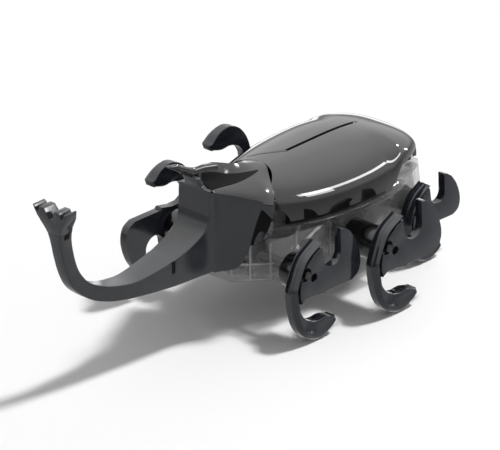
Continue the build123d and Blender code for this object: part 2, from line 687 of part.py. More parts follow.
def battery_holder():
    """Black cradle round the cells, up to the underside of the deck."""
    length = 2 * (CELL_RADIUS + HOLDER_WALL)
    with BuildPart() as holder:
        with BuildSketch(side_plane(CELL_STACK_X - CELL_STACK)):
            with Locations((CELL_ALONG, (FLOOR_TOP + DECK_BOTTOM) / 2)):
                Rectangle(length, DECK_BOTTOM - FLOOR_TOP - GAP)
            with Locations((CELL_ALONG, CELL_HEIGHT)):
                Circle(CELL_RADIUS + SEAT_FIT, mode=Mode.SUBTRACT)
            with Locations((CELL_ALONG, CELL_HEIGHT)):
                Rectangle(2 * CELL_RADIUS - 3.0, 4 * CELL_RADIUS, mode=Mode.SUBTRACT)
        extrude(amount=CELL_STACK + CONTACT_ROOM)
        with BuildSketch(side_plane(CELL_STACK_X + CONTACT_ROOM)):
            with Locations((CELL_ALONG, (FLOOR_TOP + DECK_BOTTOM) / 2)):
                Rectangle(length, DECK_BOTTOM - FLOOR_TOP - GAP)
        extrude(amount=HOLDER_WALL - GAP)
    return holder.part


def contact(x, thickness):
    """Sprung contact plate at one end of the cell stack."""
    with BuildPart() as plate:
        with BuildSketch(side_plane(x, CELL_ALONG, CELL_HEIGHT)):
            Rectangle(5.0, 2 * CELL_RADIUS - 2.0)
        extrude(amount=thickness)
    return plate.part


def circuit_board():
    """Small control board on top of the deck, under the wing shell."""
    with BuildPart() as board:
        with BuildSketch(flat_plane(DECK_TOP - SEAT_FIT)):
            with Locations(BOARD_PLACE):
                Rectangle(*BOARD_SIZE)
        extrude(amount=BOARD_THICKNESS)
    return board.part


def board_parts():
    """The chip and two small parts on the board."""
    across, along = BOARD_PLACE
    with BuildPart() as parts:
        with BuildSketch(flat_plane(DECK_TOP - SEAT_FIT + BOARD_THICKNESS)):
            with Locations((across - 0.6, along - 2.4)):
                Rectangle(2.8, 2.8)
            with Locations((across - 1.8, along + 2.0), (across - 0.4, along + 2.0)):
                Rectangle(0.8, 1.6)
        extrude(amount=0.7)
    return parts.part


def switch_body():
    wide, long = SWITCH_SIZE
    top = AXLE_HEIGHT - AXLE_RADIUS - SWITCH_CLEARANCE
    with BuildPart() as body:
        with BuildSketch(flat_plane(FLOOR_TOP)):
            with Locations((SWITCH_X, SWITCH_ALONG)):
                Rectangle(wide, long)
                Rectangle(
                    KNOB_SIZE[0] + 2 * GAP, KNOB_SIZE[1] + SWITCH_TRAVEL + 2 * GAP, mode=Mode.SUBTRACT
                )
        extrude(amount=top - WALL - FLOOR_TOP)
        with BuildSketch(flat_plane(top - WALL)):
            with Locations((SWITCH_X, SWITCH_ALONG)):
                Rectangle(wide, long)
        extrude(amount=WALL)
    return body.part


def switch_knob():
    wide, long, high = KNOB_SIZE
    with BuildPart() as knob:
        with BuildSketch(flat_plane(FLOOR_HEIGHT - 1.0)):
            with Locations((SWITCH_X, SWITCH_ALONG - SWITCH_TRAVEL / 2)):
                Rectangle(wide, long)
        extrude(amount=high)
    return knob.part


def deck_outline(inset, start, end, steps):
    """Points of the egg outline, inset, from the front on the left to the tail."""
    points = []
    for step in range(steps + 1):
        along = start + (end - start) * step / steps
        points.append((egg_half_width(along) - inset, along))
    return points


def collar_outline(inset):
    """Plan of the collar between head and wing shell."""
    half = [
        (6.4 - inset, -6.0 + inset),
        (8.4 - inset, -1.4),
        (8.4 - inset, COLLAR_SHOULDER - inset),
        (5.5 - inset, COLLAR_SHOULDER - inset),
        (5.5 - inset, COLLAR_REAR - inset),
    ]
    with BuildSketch(flat_plane(DECK_BOTTOM)) as plan:
        with BuildLine():
            Polyline(*half, *[(-x, y) for x, y in reversed(half)], close=True)
        make_face()
    return plan.sketch


def chassis_deck():
    """Clear rim plate under the wing shell, with the collar that holds head and pronotum."""
    left = deck_outline(0.5, SHELL_FRONT + 0.4, SHELL_END - 2.4, 8)
    right = [(-x, y) for x, y in reversed(left)]
    cells_edge = CELL_STACK_X - CELL_STACK - 2 * GAP
    inside = GEAR_PLATE_X + GEAR_PLATE_THICKNESS + GAP
    under_head = HEAD_REAR_TOP - WALL
    with BuildPart() as deck:
        with BuildSketch(flat_plane(DECK_BOTTOM)):
            with BuildLine():
                Spline(*left)
                Line(left[-1], right[0])
                Spline(*right)
                Line(right[-1], left[0])
            make_face()
            with BuildLine():
                Polyline(*tail_outline(0.0, REAR_BOX_START), close=True)
            make_face()
        extrude(amount=DECK_THICKNESS - SEAT_FIT)
        add(rear_sweep_rings(), mode=Mode.SUBTRACT)
        extrude(collar_outline(0.0), amount=COLLAR_TOP - DECK_BOTTOM)
        extrude(collar_outline(WALL), amount=COLLAR_TOP - WALL - DECK_BOTTOM, mode=Mode.SUBTRACT)
        with BuildSketch(side_plane(-20)):
            with Locations((HEAD_REAR - 10, under_head + 5)):
                Rectangle(20, 10)
        extrude(amount=40, mode=Mode.SUBTRACT)
        with BuildSketch(flat_plane(DECK_BOTTOM)):
            with Locations(((cells_edge + inside) / 2, (COLLAR_REAR + 18.6) / 2)):
                Rectangle(inside - cells_edge, 18.6 - COLLAR_REAR)
            with Locations((0, (18.0 + SHELL_END - 4.0) / 2)):
                Rectangle(2 * inside, SHELL_END - 4.0 - 18.0)
            with Locations(LEAD_HOLE[:2]):
                Rectangle(*LEAD_HOLE[2:])
        extrude(amount=DECK_THICKNESS, mode=Mode.SUBTRACT)
        with BuildSketch(flat_plane(FLOOR_TOP)):
            with Locations(*POST_PLACES):
                Circle(POST_RADIUS)
                Circle(SCREW_RADIUS + SEAT_FIT, mode=Mode.SUBTRACT)
        extrude(amount=DECK_BOTTOM - FLOOR_TOP)
    return deck.part


# ---------------------------------------------------------------- shells
def egg_section(along, inset, drop):
    """Superellipse arch across the body; `drop` carries it below the rim."""
    wide = egg_half_width(along) - inset
    high = egg_height(along) - inset
    arch = []
    for degrees in range(0, 181, 15):
        angle = math.radians(degrees)
        out = abs(math.cos(angle)) ** (2 / SHELL_FULLNESS)
        up = abs(math.sin(angle)) ** (2 / SHELL_FULLNESS)
        arch.append((math.copysign(wide * out, math.cos(angle)), DECK_TOP + high * up))
    with BuildSketch(cross_plane(along)) as section:
        with BuildLine():
            Spline(*arch, tangents=[(0, 1), (0, -1)])
            Polyline((-wide, DECK_TOP), (-wide, DECK_TOP - drop), (wide, DECK_TOP - drop), (wide, DECK_TOP))
        make_face()
    return section.sketch


def egg_body(inset, drop):
    """Loft through sections spaced evenly in angle, so that the tail closes round."""
    rear = SHELL_END - SHELL_WIDEST - inset
    first = math.degrees(math.asin((SHELL_FRONT - inset - SHELL_WIDEST) / SHELL_FRONT_REACH))
    last = 90 - SHELL_TAIL_ANGLE
    with BuildPart() as body:
        for step in range(SHELL_STATIONS):
            angle = math.radians(first + (last - first) * step / (SHELL_STATIONS - 1))
            reach = SHELL_FRONT_REACH if angle < 0 else rear
            add(egg_section(SHELL_WIDEST + reach * math.sin(angle), inset, drop))
        loft()
    return body.part


NECK_LINE = [(-13.0, -3.6), (-9.5, 0.4), (-6.8, 2.2), (0.0, 6.7), (6.8, 2.2), (9.5, 0.4), (13.0, -3.6)]


def neck_outline(shift):
    """Plan of everything in front of the curve between pronotum and wing shell."""
    front = [(x, y + shift) for x, y in NECK_LINE]
    with BuildSketch(flat_plane(FLOOR_HEIGHT)) as plan:
        with BuildLine():
            Spline(*front)
            Polyline(front[-1], (13.0, -40.0), (-13.0, -40.0), front[0])
        make_face()
    return plan.sketch


def wing_shell():
    outer = egg_body(0.0, 0.01)
    inner = egg_body(WALL, 3.0)
    with BuildPart() as shell:
        add(outer)
        add(inner, mode=Mode.SUBTRACT)
        add(rear_sweep_rings(), mode=Mode.SUBTRACT)
        extrude(neck_outline(GAP), amount=60, mode=Mode.SUBTRACT)
        groove_top = DECK_TOP + SHELL_RISE
        with BuildSketch(flat_plane(groove_top - GROOVE_DEPTH)):
            with Locations((0, (14.2 + 37.0) / 2)):
                SlotOverall(37.0 - 14.2, GROOVE_WIDTH, rotation=90)
        extrude(amount=4, mode=Mode.SUBTRACT)
    return shell.part


def arch_section(along, wide, shoulder, top):
    with BuildSketch(cross_plane(along)) as section:
        with BuildLine():
            Spline(
                (wide, shoulder),
                (0.6 * wide, 0.35 * shoulder + 0.65 * top),
                (0, top),
                (-0.6 * wide, 0.35 * shoulder + 0.65 * top),
                (-wide, shoulder),
            )
            Polyline((-wide, shoulder), (-wide, 28.0), (wide, 28.0), (wide, shoulder))
        make_face()
    return section.sketch


SPINE = [(6.4, 33.2), (-2.6, 36.2), (-9.0, 38.6), (-15.0, 39.9), (-23.0, 42.6)]
SPINE_UNDER = [(-23.0, 42.6), (-17.0, 38.0), (-13.6, 35.0)]


def under_head_slope():
    """Side profile of everything under the sloping head top and the collar."""
    slope = (HEAD_TOP - HEAD_REAR_TOP) / (HEAD_REAR - HEAD_FRONT)
    ahead = 1.2
    with BuildSketch(side_plane(-20)) as profile:
        with BuildLine():
            Polyline(
                (HEAD_FRONT - ahead, HEAD_TOP + ahead * slope),
                (HEAD_REAR, HEAD_REAR_TOP),
                (12, COLLAR_TOP),
                (12, 10),
                (HEAD_FRONT - ahead, 10),
                close=True,
            )
        make_face()
    return profile.sketch


def pronotum_cap():
    """Glossy neck shield with its forward spine."""
    with BuildPart() as cap:
        for along, wide, shoulder, top in (
            (HEAD_FRONT - 1.0, 4.5, 34.9, 36.4),
            (-8.0, 8.2, 33.0, 36.4),
            (-2.0, 11.4, 30.6, 35.6),
            (3.0, 11.6, 30.4, 34.6),
            (8.0, 11.6, 30.4, 33.4),
        ):
            add(arch_section(along, wide, shoulder, top))
        loft()
        with BuildSketch(side_plane(-0.9)):
            with BuildLine():
                Spline(*SPINE)
                Spline(*SPINE_UNDER)
                Polyline(SPINE_UNDER[-1], (-8, 33.5), (4, 31), SPINE[0])
            make_face()
        extrude(amount=1.8)
        extrude(under_head_slope(), amount=40, mode=Mode.SUBTRACT)
        extrude(neck_outline(0.0), amount=60, mode=Mode.INTERSECT)
    return cap.part


def head_plan(inset, rear):
    half = [
        (HORN_BASE_HALF_WIDTH - inset, HEAD_FRONT + inset),
        (6.9 - inset, -8.8),
        (9.3 - inset, -5.6),
        (11.4 - inset, rear),
    ]
    with BuildSketch(flat_plane(HEAD_BOTTOM)) as plan:
        with BuildLine():
            Polyline(*half, *[(-x, y) for x, y in reversed(half)], close=True)
        make_face()
    return plan.sketch


def head_shell():
    """Satin head: two flared cheeks under a sloping top, open below and behind."""
    with BuildPart() as head:
        extrude(head_plan(0.0, HEAD_REAR), amount=HEAD_TOP - HEAD_BOTTOM)
        extrude(
            head_plan(WALL, HEAD_REAR + WALL),
            amount=HEAD_REAR_TOP - WALL - HEAD_BOTTOM,
            mode=Mode.SUBTRACT,
        )
        with BuildSketch(side_plane(-20)):
            with BuildLine():
                Polyline(
                    (HEAD_FRONT, HEAD_BOTTOM),
                    (-8.8, HEAD_BOTTOM),
                    (-6.7, 20.2),
                    (-6.0, 24.0),
                    (-4.6, 28.0),
                    (HEAD_REAR, 27.4),
                    (HEAD_REAR, HEAD_REAR_TOP),
                    (HEAD_FRONT, HEAD_TOP),
                    close=True,
                )
            make_face()
        extrude(amount=40, mode=Mode.INTERSECT)
    return head.part


HORN_INNER = [
    (SLIDE_FACE, 28.6),
    (-17.4, 25.0),
    (-24.0, 22.3),
    (-35.2, 20.7),
    (-45.4, 22.8),
    (-51.9, 28.1),
    (-54.2, 35.2),
    (-56.2, 44.4),
]
HORN_OUTER = [(-60.1, 45.0), (-58.2, 37.0), (-55.4, 27.6), (-50.3, 21.6), (-43.6, 18.4), (-35.3, 16.9)]
HORN_SHAFT_END = -46.0  # the shaft and fork are in front of this
HORN_HALF_WIDTHS_UP = [(1.5, 24.0), (1.5, 35.0), (1.9, 38.4), (3.0, 40.9), (4.9, 45.4)]
HORN_NOTCHES = [
    [(2.6, 46.0), (3.3, 43.4), (3.7, 43.4), (4.6, 46.0)],
    [(1.8, 46.0), (0.4, 42.2), (-0.2, 42.2), (-0.2, 46.0)],
]
HORN_HALF_WIDTHS_ALONG = [
    (HORN_BASE_HALF_WIDTH, HEAD_FRONT),
    (3.7, -24.0),
    (2.9, -35.0),
    (2.0, -46.0),
    (1.5, -52.6),
]


def horn_front_view():
    """Shaft and fork as seen from the front. Behind them it keeps the blade's full width."""
    half = HORN_HALF_WIDTHS_UP
    foremost = -80.0
    with BuildPart() as view:
        with BuildSketch(Plane.XZ.offset(-foremost)):
            with BuildLine():
                Spline(*half)
                Polyline(half[-1], (4.9, 50.0), (-4.9, 50.0), (-4.9, half[-1][1]))
                Spline(*[(-x, y) for x, y in reversed(half)])
                Polyline((-half[0][0], half[0][1]), (-6, 23.0), (-6, 0), (6, 0), (6, 23.0), half[0])
            make_face()
            for notch in HORN_NOTCHES:
                Polygon(*notch, align=None, mode=Mode.SUBTRACT)
                Polygon(*[(-x, y) for x, y in notch], align=None, mode=Mode.SUBTRACT)
        extrude(amount=foremost - HORN_SHAFT_END)
        with BuildSketch(Plane.XY):
            with Locations((0, HORN_SHAFT_END / 2)):
                Rectangle(20, -HORN_SHAFT_END)
        extrude(amount=60)
    return view.part


def horn():
    """U-shaped horn blade with a forked tip; its tall root is the front of the head."""
    with BuildPart() as blade:
        with BuildSketch(side_plane(-10)):
            with BuildLine():
                Spline(*HORN_INNER)
                Line(HORN_INNER[-1], HORN_OUTER[0])
                Spline(*HORN_OUTER)
                Polyline(
                    HORN_OUTER[-1],
                    (-25.0, 16.0),
                    (HEAD_FRONT, HEAD_BOTTOM),
                    (HEAD_FRONT, HEAD_TOP),
                    (SLIDE_FACE, HEAD_TOP + 0.5),
                    HORN_INNER[0],
                )
            make_face()
        extrude(amount=20)
        add(horn_front_view(), mode=Mode.INTERSECT)
        with BuildSketch(flat_plane(0)):
            with BuildLine():
                half = HORN_HALF_WIDTHS_ALONG
                Spline(*half)
                Polyline(half[-1], (6, -53), (6, -70), (-6, -70), (-6, -53), (-half[-1][0], half[-1][1]))
                Spline(*[(-x, y) for x, y in reversed(half)])
                Line((-half[0][0], half[0][1]), half[0])
            make_face()
        extrude(amount=60, mode=Mode.INTERSECT)
    return blade.part


# ---------------------------------------------------------------- leads and screws
def lead(place):
    """Insulated lead from the board, through the hole in the deck, to the motor cap."""
    start_x, down_along = place
    over = DECK_TOP + BOARD_THICKNESS + LEAD_RADIUS + SEAT_FIT
    cap_x = MOTOR_FRONT_X - MOTOR_LENGTH - MOTOR_CAP
    points = [
        (start_x, FRONT_AXLE_Y + BOARD_PLACE[1] + BOARD_SIZE[1] / 2 - 1.5, over),
        (start_x, FRONT_AXLE_Y + down_along, over),
        (start_x, FRONT_AXLE_Y + down_along, MOTOR_HEIGHT - 1.0),
        (cap_x, FRONT_AXLE_Y + down_along, MOTOR_HEIGHT - 1.0),
    ]
    with BuildPart() as wire:
        with BuildLine():
            FilletPolyline(*points, radius=LEAD_BEND)
        with BuildSketch(Plane(origin=points[0], z_dir=(0, 1, 0))):
            Circle(LEAD_RADIUS)
        sweep()
    return wire.part


def screws(places, seat, head, length):
    """Flat-head screws that enter from below; their heads bear on the plane at `seat`."""
    with BuildPart() as group:
        with BuildSketch(flat_plane(seat)):
            with Locations(*places):
                Circle(SCREW_HEAD_RADIUS)
        extrude(amount=-head)
        with BuildSketch(flat_plane(seat)):
            with Locations(*places):
                Circle(SCREW_RADIUS)
        extrude(amount=length)
    return group.part


# ---------------------------------------------------------------- write everything
def main():
    os.makedirs("parts", exist_ok=True)
    rows = (
        ("front", FRONT_AXLE, FRONT_BOSS_END + GAP, FRONT_LEG_FACE, 1.0, HUB_RADIUS, FRONT_PHASE),
        ("middle", MIDDLE_AXLE, MIDDLE_HALF_WIDTH + GAP, MIDDLE_LEG_FACE, 1.0, HUB_RADIUS, MIDDLE_PHASE),
        (
            "rear",
            REAR_AXLE,
            REAR_HALF_WIDTH + GAP,
            REAR_LEG_FACE,
            REAR_LEG_SCALE,
            REAR_HUB_RADIUS,
            REAR_PHASE,
        ),
    )
    for name, axle, start, face, scale, radius, phase in rows:
        save(axle_rod(axle, face), f"{name}_axle")
        save(gear(AXLE_TEETH, axle, phase, TRAIN_X, TRAIN_WIDTH, AXLE_RADIUS), f"{name}_axle_gear")
        for side, word in ((1, "left"), (-1, "right")):
            save(leg(axle, face, scale, side), f"{name}_{word}_leg")
            save(hub(axle, start, face, radius, scale, side), f"{name}_{word}_hub")
    pin_bore = GEAR_PIN_RADIUS + RUNNING_FIT
    save(
        gear(FRONT_IDLER_TEETH, FRONT_IDLER, FRONT_IDLER_PHASE, TRAIN_X, TRAIN_WIDTH, pin_bore),
        "front_idler_gear",
    )
    save(
        gear(REAR_IDLER_TEETH, REAR_IDLER, REAR_IDLER_PHASE, TRAIN_X, TRAIN_WIDTH, pin_bore),
        "rear_idler_gear",
    )
    save(compound_gear(), "compound_gear")
    save(
        gear(
            MOTOR_PINION_TEETH,
            MOTOR,
            MOTOR_PHASE,
            REDUCTION_X,
            REDUCTION_WIDTH,
            MOTOR_SHAFT_RADIUS + SEAT_FIT,
        ),
        "motor_pinion",
    )
    save(gear_pins(), "gear_pins")
    save(gear_plate(), "gear_plate")
    save(motor_can(), "motor_can")
    save(motor_cap(), "motor_cap")
    save(motor_shaft(), "motor_shaft")
    save(motor_core(), "motor_core")
    save(motor_cradle(), "motor_cradle")
    save(chassis_tub(), "chassis_tub")
    save(chassis_deck(), "chassis_deck")
    save(wing_shell(), "wing_shell")
    save(pronotum_cap(), "pronotum_cap")
    save(head_shell(), "head_shell")
    save(horn(), "horn")
    for number, cell in enumerate(cells(), start=1):
        save(cell, f"button_cell_{number}")
    save(battery_holder(), "battery_holder")
    save(contact(CELL_STACK_X, 0.3), "contact_inner")
    save(contact(CELL_STACK_X - CELL_STACK - 0.3, 0.3), "contact_outer")
    save(battery_door(), "battery_door")
    save(circuit_board(), "circuit_board")
    save(board_parts(), "board_parts")
    save(screws(POST_PLACES, FLOOR_HEIGHT + SCREW_HEAD, SCREW_HEAD, SCREW_LENGTH), "chassis_screws")
    save(screws([DOOR_SCREW], TAB_BOTTOM, DOOR_SCREW_HEAD, DOOR_SCREW_LENGTH), "door_screw")
    save(lead(LEAD_PLACES[0]), "lead_red")
    save(lead(LEAD_PLACES[1]), "lead_black")
    save(switch_body(), "switch_body")
    save(switch_knob(), "switch_knob")


if __name__ == "__main__":
    main()
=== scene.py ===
"""Horned beetle walking robot: finish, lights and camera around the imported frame."""

import json
import math

import bmesh
import bpy
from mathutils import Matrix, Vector

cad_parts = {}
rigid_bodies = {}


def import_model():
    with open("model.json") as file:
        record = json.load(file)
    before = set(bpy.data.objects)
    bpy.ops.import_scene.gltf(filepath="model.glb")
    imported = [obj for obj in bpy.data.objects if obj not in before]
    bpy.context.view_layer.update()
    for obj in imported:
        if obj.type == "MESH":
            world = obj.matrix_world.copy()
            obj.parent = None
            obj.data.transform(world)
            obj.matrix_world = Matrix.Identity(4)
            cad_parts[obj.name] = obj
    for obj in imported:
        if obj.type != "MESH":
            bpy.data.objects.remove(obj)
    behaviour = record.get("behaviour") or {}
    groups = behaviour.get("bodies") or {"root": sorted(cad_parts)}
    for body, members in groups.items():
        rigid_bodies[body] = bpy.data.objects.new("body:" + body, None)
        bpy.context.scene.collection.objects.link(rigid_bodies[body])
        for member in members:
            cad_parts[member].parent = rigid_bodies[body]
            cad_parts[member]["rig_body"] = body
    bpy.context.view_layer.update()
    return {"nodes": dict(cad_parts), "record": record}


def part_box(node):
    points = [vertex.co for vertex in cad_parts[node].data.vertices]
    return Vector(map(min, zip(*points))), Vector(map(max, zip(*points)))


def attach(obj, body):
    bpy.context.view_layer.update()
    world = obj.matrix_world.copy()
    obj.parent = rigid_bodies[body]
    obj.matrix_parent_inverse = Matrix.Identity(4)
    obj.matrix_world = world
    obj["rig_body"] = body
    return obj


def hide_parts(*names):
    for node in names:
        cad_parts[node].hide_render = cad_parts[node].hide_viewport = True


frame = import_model()

MM = 0.001


def centre_of(node):
    low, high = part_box(node)
    return (low + high) / 2


FRONT_AXLE = centre_of("front_axle")
MIDDLE_AXLE = centre_of("middle_axle")
REAR_AXLE = centre_of("rear_axle")


def spot(x, along, up):
    """A point in millimetres: to the left, behind the front axle and above the floor."""
    return Vector((x * MM, FRONT_AXLE.y + along * MM, up * MM))


# ---------------------------------------------------------------- camera
VIEW_AZIMUTH = math.radians(42.4)
VIEW_ELEVATION = math.radians(24.8)
VIEW_DISTANCE = 4.0
VIEW_WIDTH = 0.107
VIEW_TARGET = spot(0, 3.1, 19.9)
SENSOR = 36.0


def place_camera():
    data = bpy.data.cameras.new("camera")
    camera = bpy.data.objects.new("camera", data)
    bpy.context.scene.collection.objects.link(camera)
    back = Vector((
        math.sin(VIEW_AZIMUTH) * math.cos(VIEW_ELEVATION),
        -math.cos(VIEW_AZIMUTH) * math.cos(VIEW_ELEVATION),
        math.sin(VIEW_ELEVATION),
    ))
    camera.location = VIEW_TARGET + back * VIEW_DISTANCE
    camera.rotation_euler = back.to_track_quat("Z", "Y").to_euler()
    data.sensor_width = SENSOR
    data.lens = SENSOR * VIEW_DISTANCE / VIEW_WIDTH
    data.clip_start = 0.01
    data.clip_end = 20
    bpy.context.scene.camera = camera


place_camera()


# ---------------------------------------------------------------- shader maths
class Signal:
    """A shader socket that takes part in sums written as Python expressions."""

    def __init__(self, graph, socket):
        self.graph = graph
        self.socket = socket

    def _sum(self, operation, *terms):
        return self.graph.node("ShaderNodeMath", {"operation": operation}, *terms)

    def __add__(self, other):
        return self._sum("ADD", self, other)

    def __mul__(self, other):
        return self._sum("MULTIPLY", self, other)

    __radd__ = __add__
    __rmul__ = __mul__

    def between(self, low, high):
        """0 below low, 1 above high, smooth in between."""
        settings = {"interpolation_type": "SMOOTHSTEP"}
        return self.graph.node("ShaderNodeMapRange", settings, self, low, high)


class Finish:
    """A material built node by node."""

    def __init__(self, name):
        self.material = bpy.data.materials.new(name)
        self.material.use_nodes = True
        self.tree = self.material.node_tree
        self.shader = self.tree.nodes["Principled BSDF"]
        self.output = self.tree.nodes["Material Output"]

    def node(self, kind, settings=None, *inputs, output=0, **named):
        made = self.tree.nodes.new(kind)
        for key, value in (settings or {}).items():
            setattr(made, key, value)
        for key, value in list(enumerate(inputs)) + list(named.items()):
            self.feed(made.inputs[key.replace("_", " ") if isinstance(key, str) else key], value)
        return Signal(self, made.outputs[output])

    def feed(self, socket, value):
        if isinstance(value, Signal):
            self.tree.links.new(value.socket, socket)
        else:
            socket.default_value = value

    def set(self, **values):
        for key, value in values.items():
            self.feed(self.shader.inputs[key.replace("_", " ")], value)

    def place(self):
        return self.node("ShaderNodeTexCoord", output="Object")

    def noise(self, scale, detail=2.0, place=None):
        return self.node(
            "ShaderNodeTexNoise", None, Vector=place or self.place(), Scale=scale, Detail=detail
        )

    def blend(self, share, first, second):
        """The colour between two colours."""
        mix = self.node("ShaderNodeMix", {"data_type": "RGBA"}, share, output=2)
        self.feed(mix.socket.node.inputs[6], first)
        self.feed(mix.socket.node.inputs[7], second)
        return mix

    def bump(self, height, distance, strength=1.0):
        normal = self.node("ShaderNodeBump", None, Height=height, Distance=distance, Strength=strength)
        self.set(Normal=normal)


def grey(value, alpha=1.0):
    return (value, value, value, alpha)


def moulded_plastic(name, dark, light, rough, rough_spread, coat, ripple):
    """Black moulded plastic: faint flow marks, a slightly uneven gloss and handling haze."""
    finish = Finish(name)
    flow = finish.noise(90.0, 3.0)
    haze = finish.noise(700.0, 4.0)
    finish.set(
        Base_Color=finish.blend(flow.between(0.3, 0.7), dark, light),
        Roughness=haze.between(0.35, 0.75) * rough_spread + rough,
        Coat_Weight=coat,
        Coat_Roughness=0.04,
        IOR=1.5,
    )
    finish.bump(haze + flow * 2.0, ripple)
    return finish.material


def clear_plastic(name, tint, alpha):
    """Smoke-clear plastic with a faint haze."""
    finish = Finish(name)
    haze = finish.noise(400.0, 3.0)
    finish.set(
        Base_Color=finish.blend(haze, tint, grey(tint[0] * 1.15)),
        Roughness=haze * 0.04 + 0.03,
        Alpha=haze * 0.06 + alpha,
        IOR=1.5,
    )
    return finish.material


def metal(name, colour, rough, scratch):
    """Drawn metal with fine lines along its length."""
    finish = Finish(name)
    stretched = finish.node("ShaderNodeMapping", None, finish.place(), Scale=(1.0, 12.0, 12.0))
    lines = finish.noise(1500.0, 4.0, stretched)
    finish.set(
        Base_Color=finish.blend(lines, colour, tuple(c * 0.8 for c in colour[:3]) + (1.0,)),
        Roughness=lines * scratch + rough,
        Metallic=1.0,
    )
    return finish.material


def matte_plastic(name, colour, rough=0.5, shine=0.5):
    """Plain plastic with a fine grain."""
    finish = Finish(name)
    grain = finish.noise(1800.0, 3.0)
    finish.set(
        Base_Color=finish.blend(grain, colour, tuple(c * 0.85 for c in colour[:3]) + (1.0,)),
        Roughness=grain * 0.15 + rough,
        Specular_IOR_Level=shine,
    )
    finish.bump(grain, 0.00002)
    return finish.material


SHELL_DARK, SHELL_LIGHT = grey(0.010), grey(0.014)
HEAD_DARK, HEAD_LIGHT = (0.016, 0.018, 0.022, 1.0), (0.020, 0.022, 0.027, 1.0)
LEG_DARK, LEG_LIGHT = (0.012, 0.014, 0.019, 1.0), (0.015, 0.017, 0.023, 1.0)
FINE_RIPPLE, RIPPLE = 0.0000005, 0.000001
SHELL_BLACK = moulded_plastic("shell_black", SHELL_DARK, SHELL_LIGHT, 0.03, 0.02, 0.3, FINE_RIPPLE)
SHIELD_BLACK = moulded_plastic("shield_black", SHELL_DARK, SHELL_LIGHT, 0.12, 0.03, 0.0, FINE_RIPPLE)
HEAD_BLACK = moulded_plastic("head_black", HEAD_DARK, HEAD_LIGHT, 0.15, 0.05, 0.0, RIPPLE)
LEG_BLACK = moulded_plastic("leg_black", LEG_DARK, LEG_LIGHT, 0.07, 0.04, 0.0, FINE_RIPPLE)
HUB_BLACK = moulded_plastic("hub_black", grey(0.003), grey(0.005), 0.1, 0.05, 0.0, RIPPLE)
CLEAR = clear_plastic("clear_smoke", grey(0.2), 0.3)
# The ribs' lighter, denser copy of the clear plastic is a painted highlight for their bright edges.
CLEAR_RIB_HIGHLIGHT = clear_plastic("clear_rib_highlight", grey(0.45), 0.42)
# Near-black matte for painted shade: the gap under the shell's lip, the hollows beside the neck spine, the
# cheek windows and the horn's slot and recess.
PAINTED_SHADE_BLACK = matte_plastic("painted_shade_black", grey(0.003), 0.6, 0.1)
BY_SLOT = {
    "shell_black": SHELL_BLACK,
    "head_black": HEAD_BLACK,
    "leg_black": LEG_BLACK,
    "hub_black": HUB_BLACK,
    "clear_smoke": CLEAR,
    # Axle steel is near-black: painted shade for the dark inside the legs' axle holes, where the axle ends
    # show.
    "axle_steel": metal("axle_steel", grey(0.012), 0.35, 0.2),
    "gear_white": matte_plastic("gear_white", grey(0.3), 0.35),
    "gear_pin_steel": metal("gear_pin_steel", grey(0.5), 0.3, 0.2),
    "motor_core_iron": metal("motor_core_iron", grey(0.2), 0.4, 0.2),
    "motor_steel": metal("motor_steel", grey(0.5), 0.25, 0.2),
    "motor_cap_plastic": matte_plastic("motor_cap_plastic", grey(0.4)),
    "holder_black": matte_plastic("holder_black", grey(0.02)),
    "cell_steel": metal("cell_steel", grey(0.6), 0.2, 0.15),
    "contact_nickel": metal("contact_nickel", grey(0.6), 0.25, 0.15),
    "board_green": matte_plastic("board_green", (0.02, 0.1, 0.04, 1.0), 0.35),
    "chip_black": matte_plastic("chip_black", grey(0.015)),
    "switch_metal": metal("switch_metal", grey(0.5), 0.3, 0.2),
    "knob_black": matte_plastic("knob_black", grey(0.02)),
    "screw_steel": metal("screw_steel", grey(0.06), 0.35, 0.2),
    "lead_red_pvc": matte_plastic("lead_red_pvc", (0.4, 0.02, 0.02, 1.0), 0.35),
    "lead_black_pvc": matte_plastic("lead_black_pvc", grey(0.015), 0.35),
}


def finish_cad_nodes():
    slots = {s["node"]: s["material_slot"] for s in frame["record"]["subparts"]}
    for name, node in frame["nodes"].items():
        node.data.materials.clear()
        node.data.materials.append(BY_SLOT[slots[name]])


finish_cad_nodes()


# ---------------------------------------------------------------- mesh helpers
CURVE_STEPS = 16
SMOOTH_UP_TO = math.radians(38)
SIDES = (("left", 1), ("right", -1))


def smooth_line(points, count):
    """Points spread evenly along a smooth line through the given ones."""
    knots = [Vector(p) for p in points]
    knots = [knots[0] * 2 - knots[1]] + knots + [knots[-1] * 2 - knots[-2]]
    fine = []
    for before, start, end, after in zip(knots, knots[1:], knots[2:], knots[3:]):
        for step in range(CURVE_STEPS):
            t = step / CURVE_STEPS
            fine.append(0.5 * (
                2 * start + (end - before) * t
                + (2 * before - 5 * start + 4 * end - after) * t ** 2
                + (3 * start - before - 3 * end + after) * t ** 3
            ))
    fine.append(knots[-2])
    return even_points(fine, count)


def even_points(line, count):
    """The same number of steps of equal length along a line of points."""
    reach = [0.0]
    for start, end in zip(line, line[1:]):
        reach.append(reach[-1] + (end - start).length)
    spread = []
    leg = 0
    for step in range(count):
        want = reach[-1] * step / (count - 1)
        while leg < len(line) - 2 and reach[leg + 1] < want:
            leg += 1
        share = (want - reach[leg]) / max(reach[leg + 1] - reach[leg], 1e-12)
        spread.append(line[leg].lerp(line[leg + 1], min(1.0, share)))
    return spread


def flat_line(points, count):
    """A smooth line through points in a plane."""
    return smooth_line([(*p, 0) for p in points], count)


def rounded(share):
    """0 to 1 with an easy start and end."""
    share = min(1.0, max(0.0, share))
    return share * share * (3 - 2 * share)


def lookup(table, value):
    """Reads a value from a table of (place, value) pairs, in straight steps."""
    if value <= table[0][0]:
        return table[0][1]
    for (start, low), (end, high) in zip(table, table[1:]):
        if value <= end:
            share = (value - start) / (end - start)
            return low + (high - low) * share
    return table[-1][1]


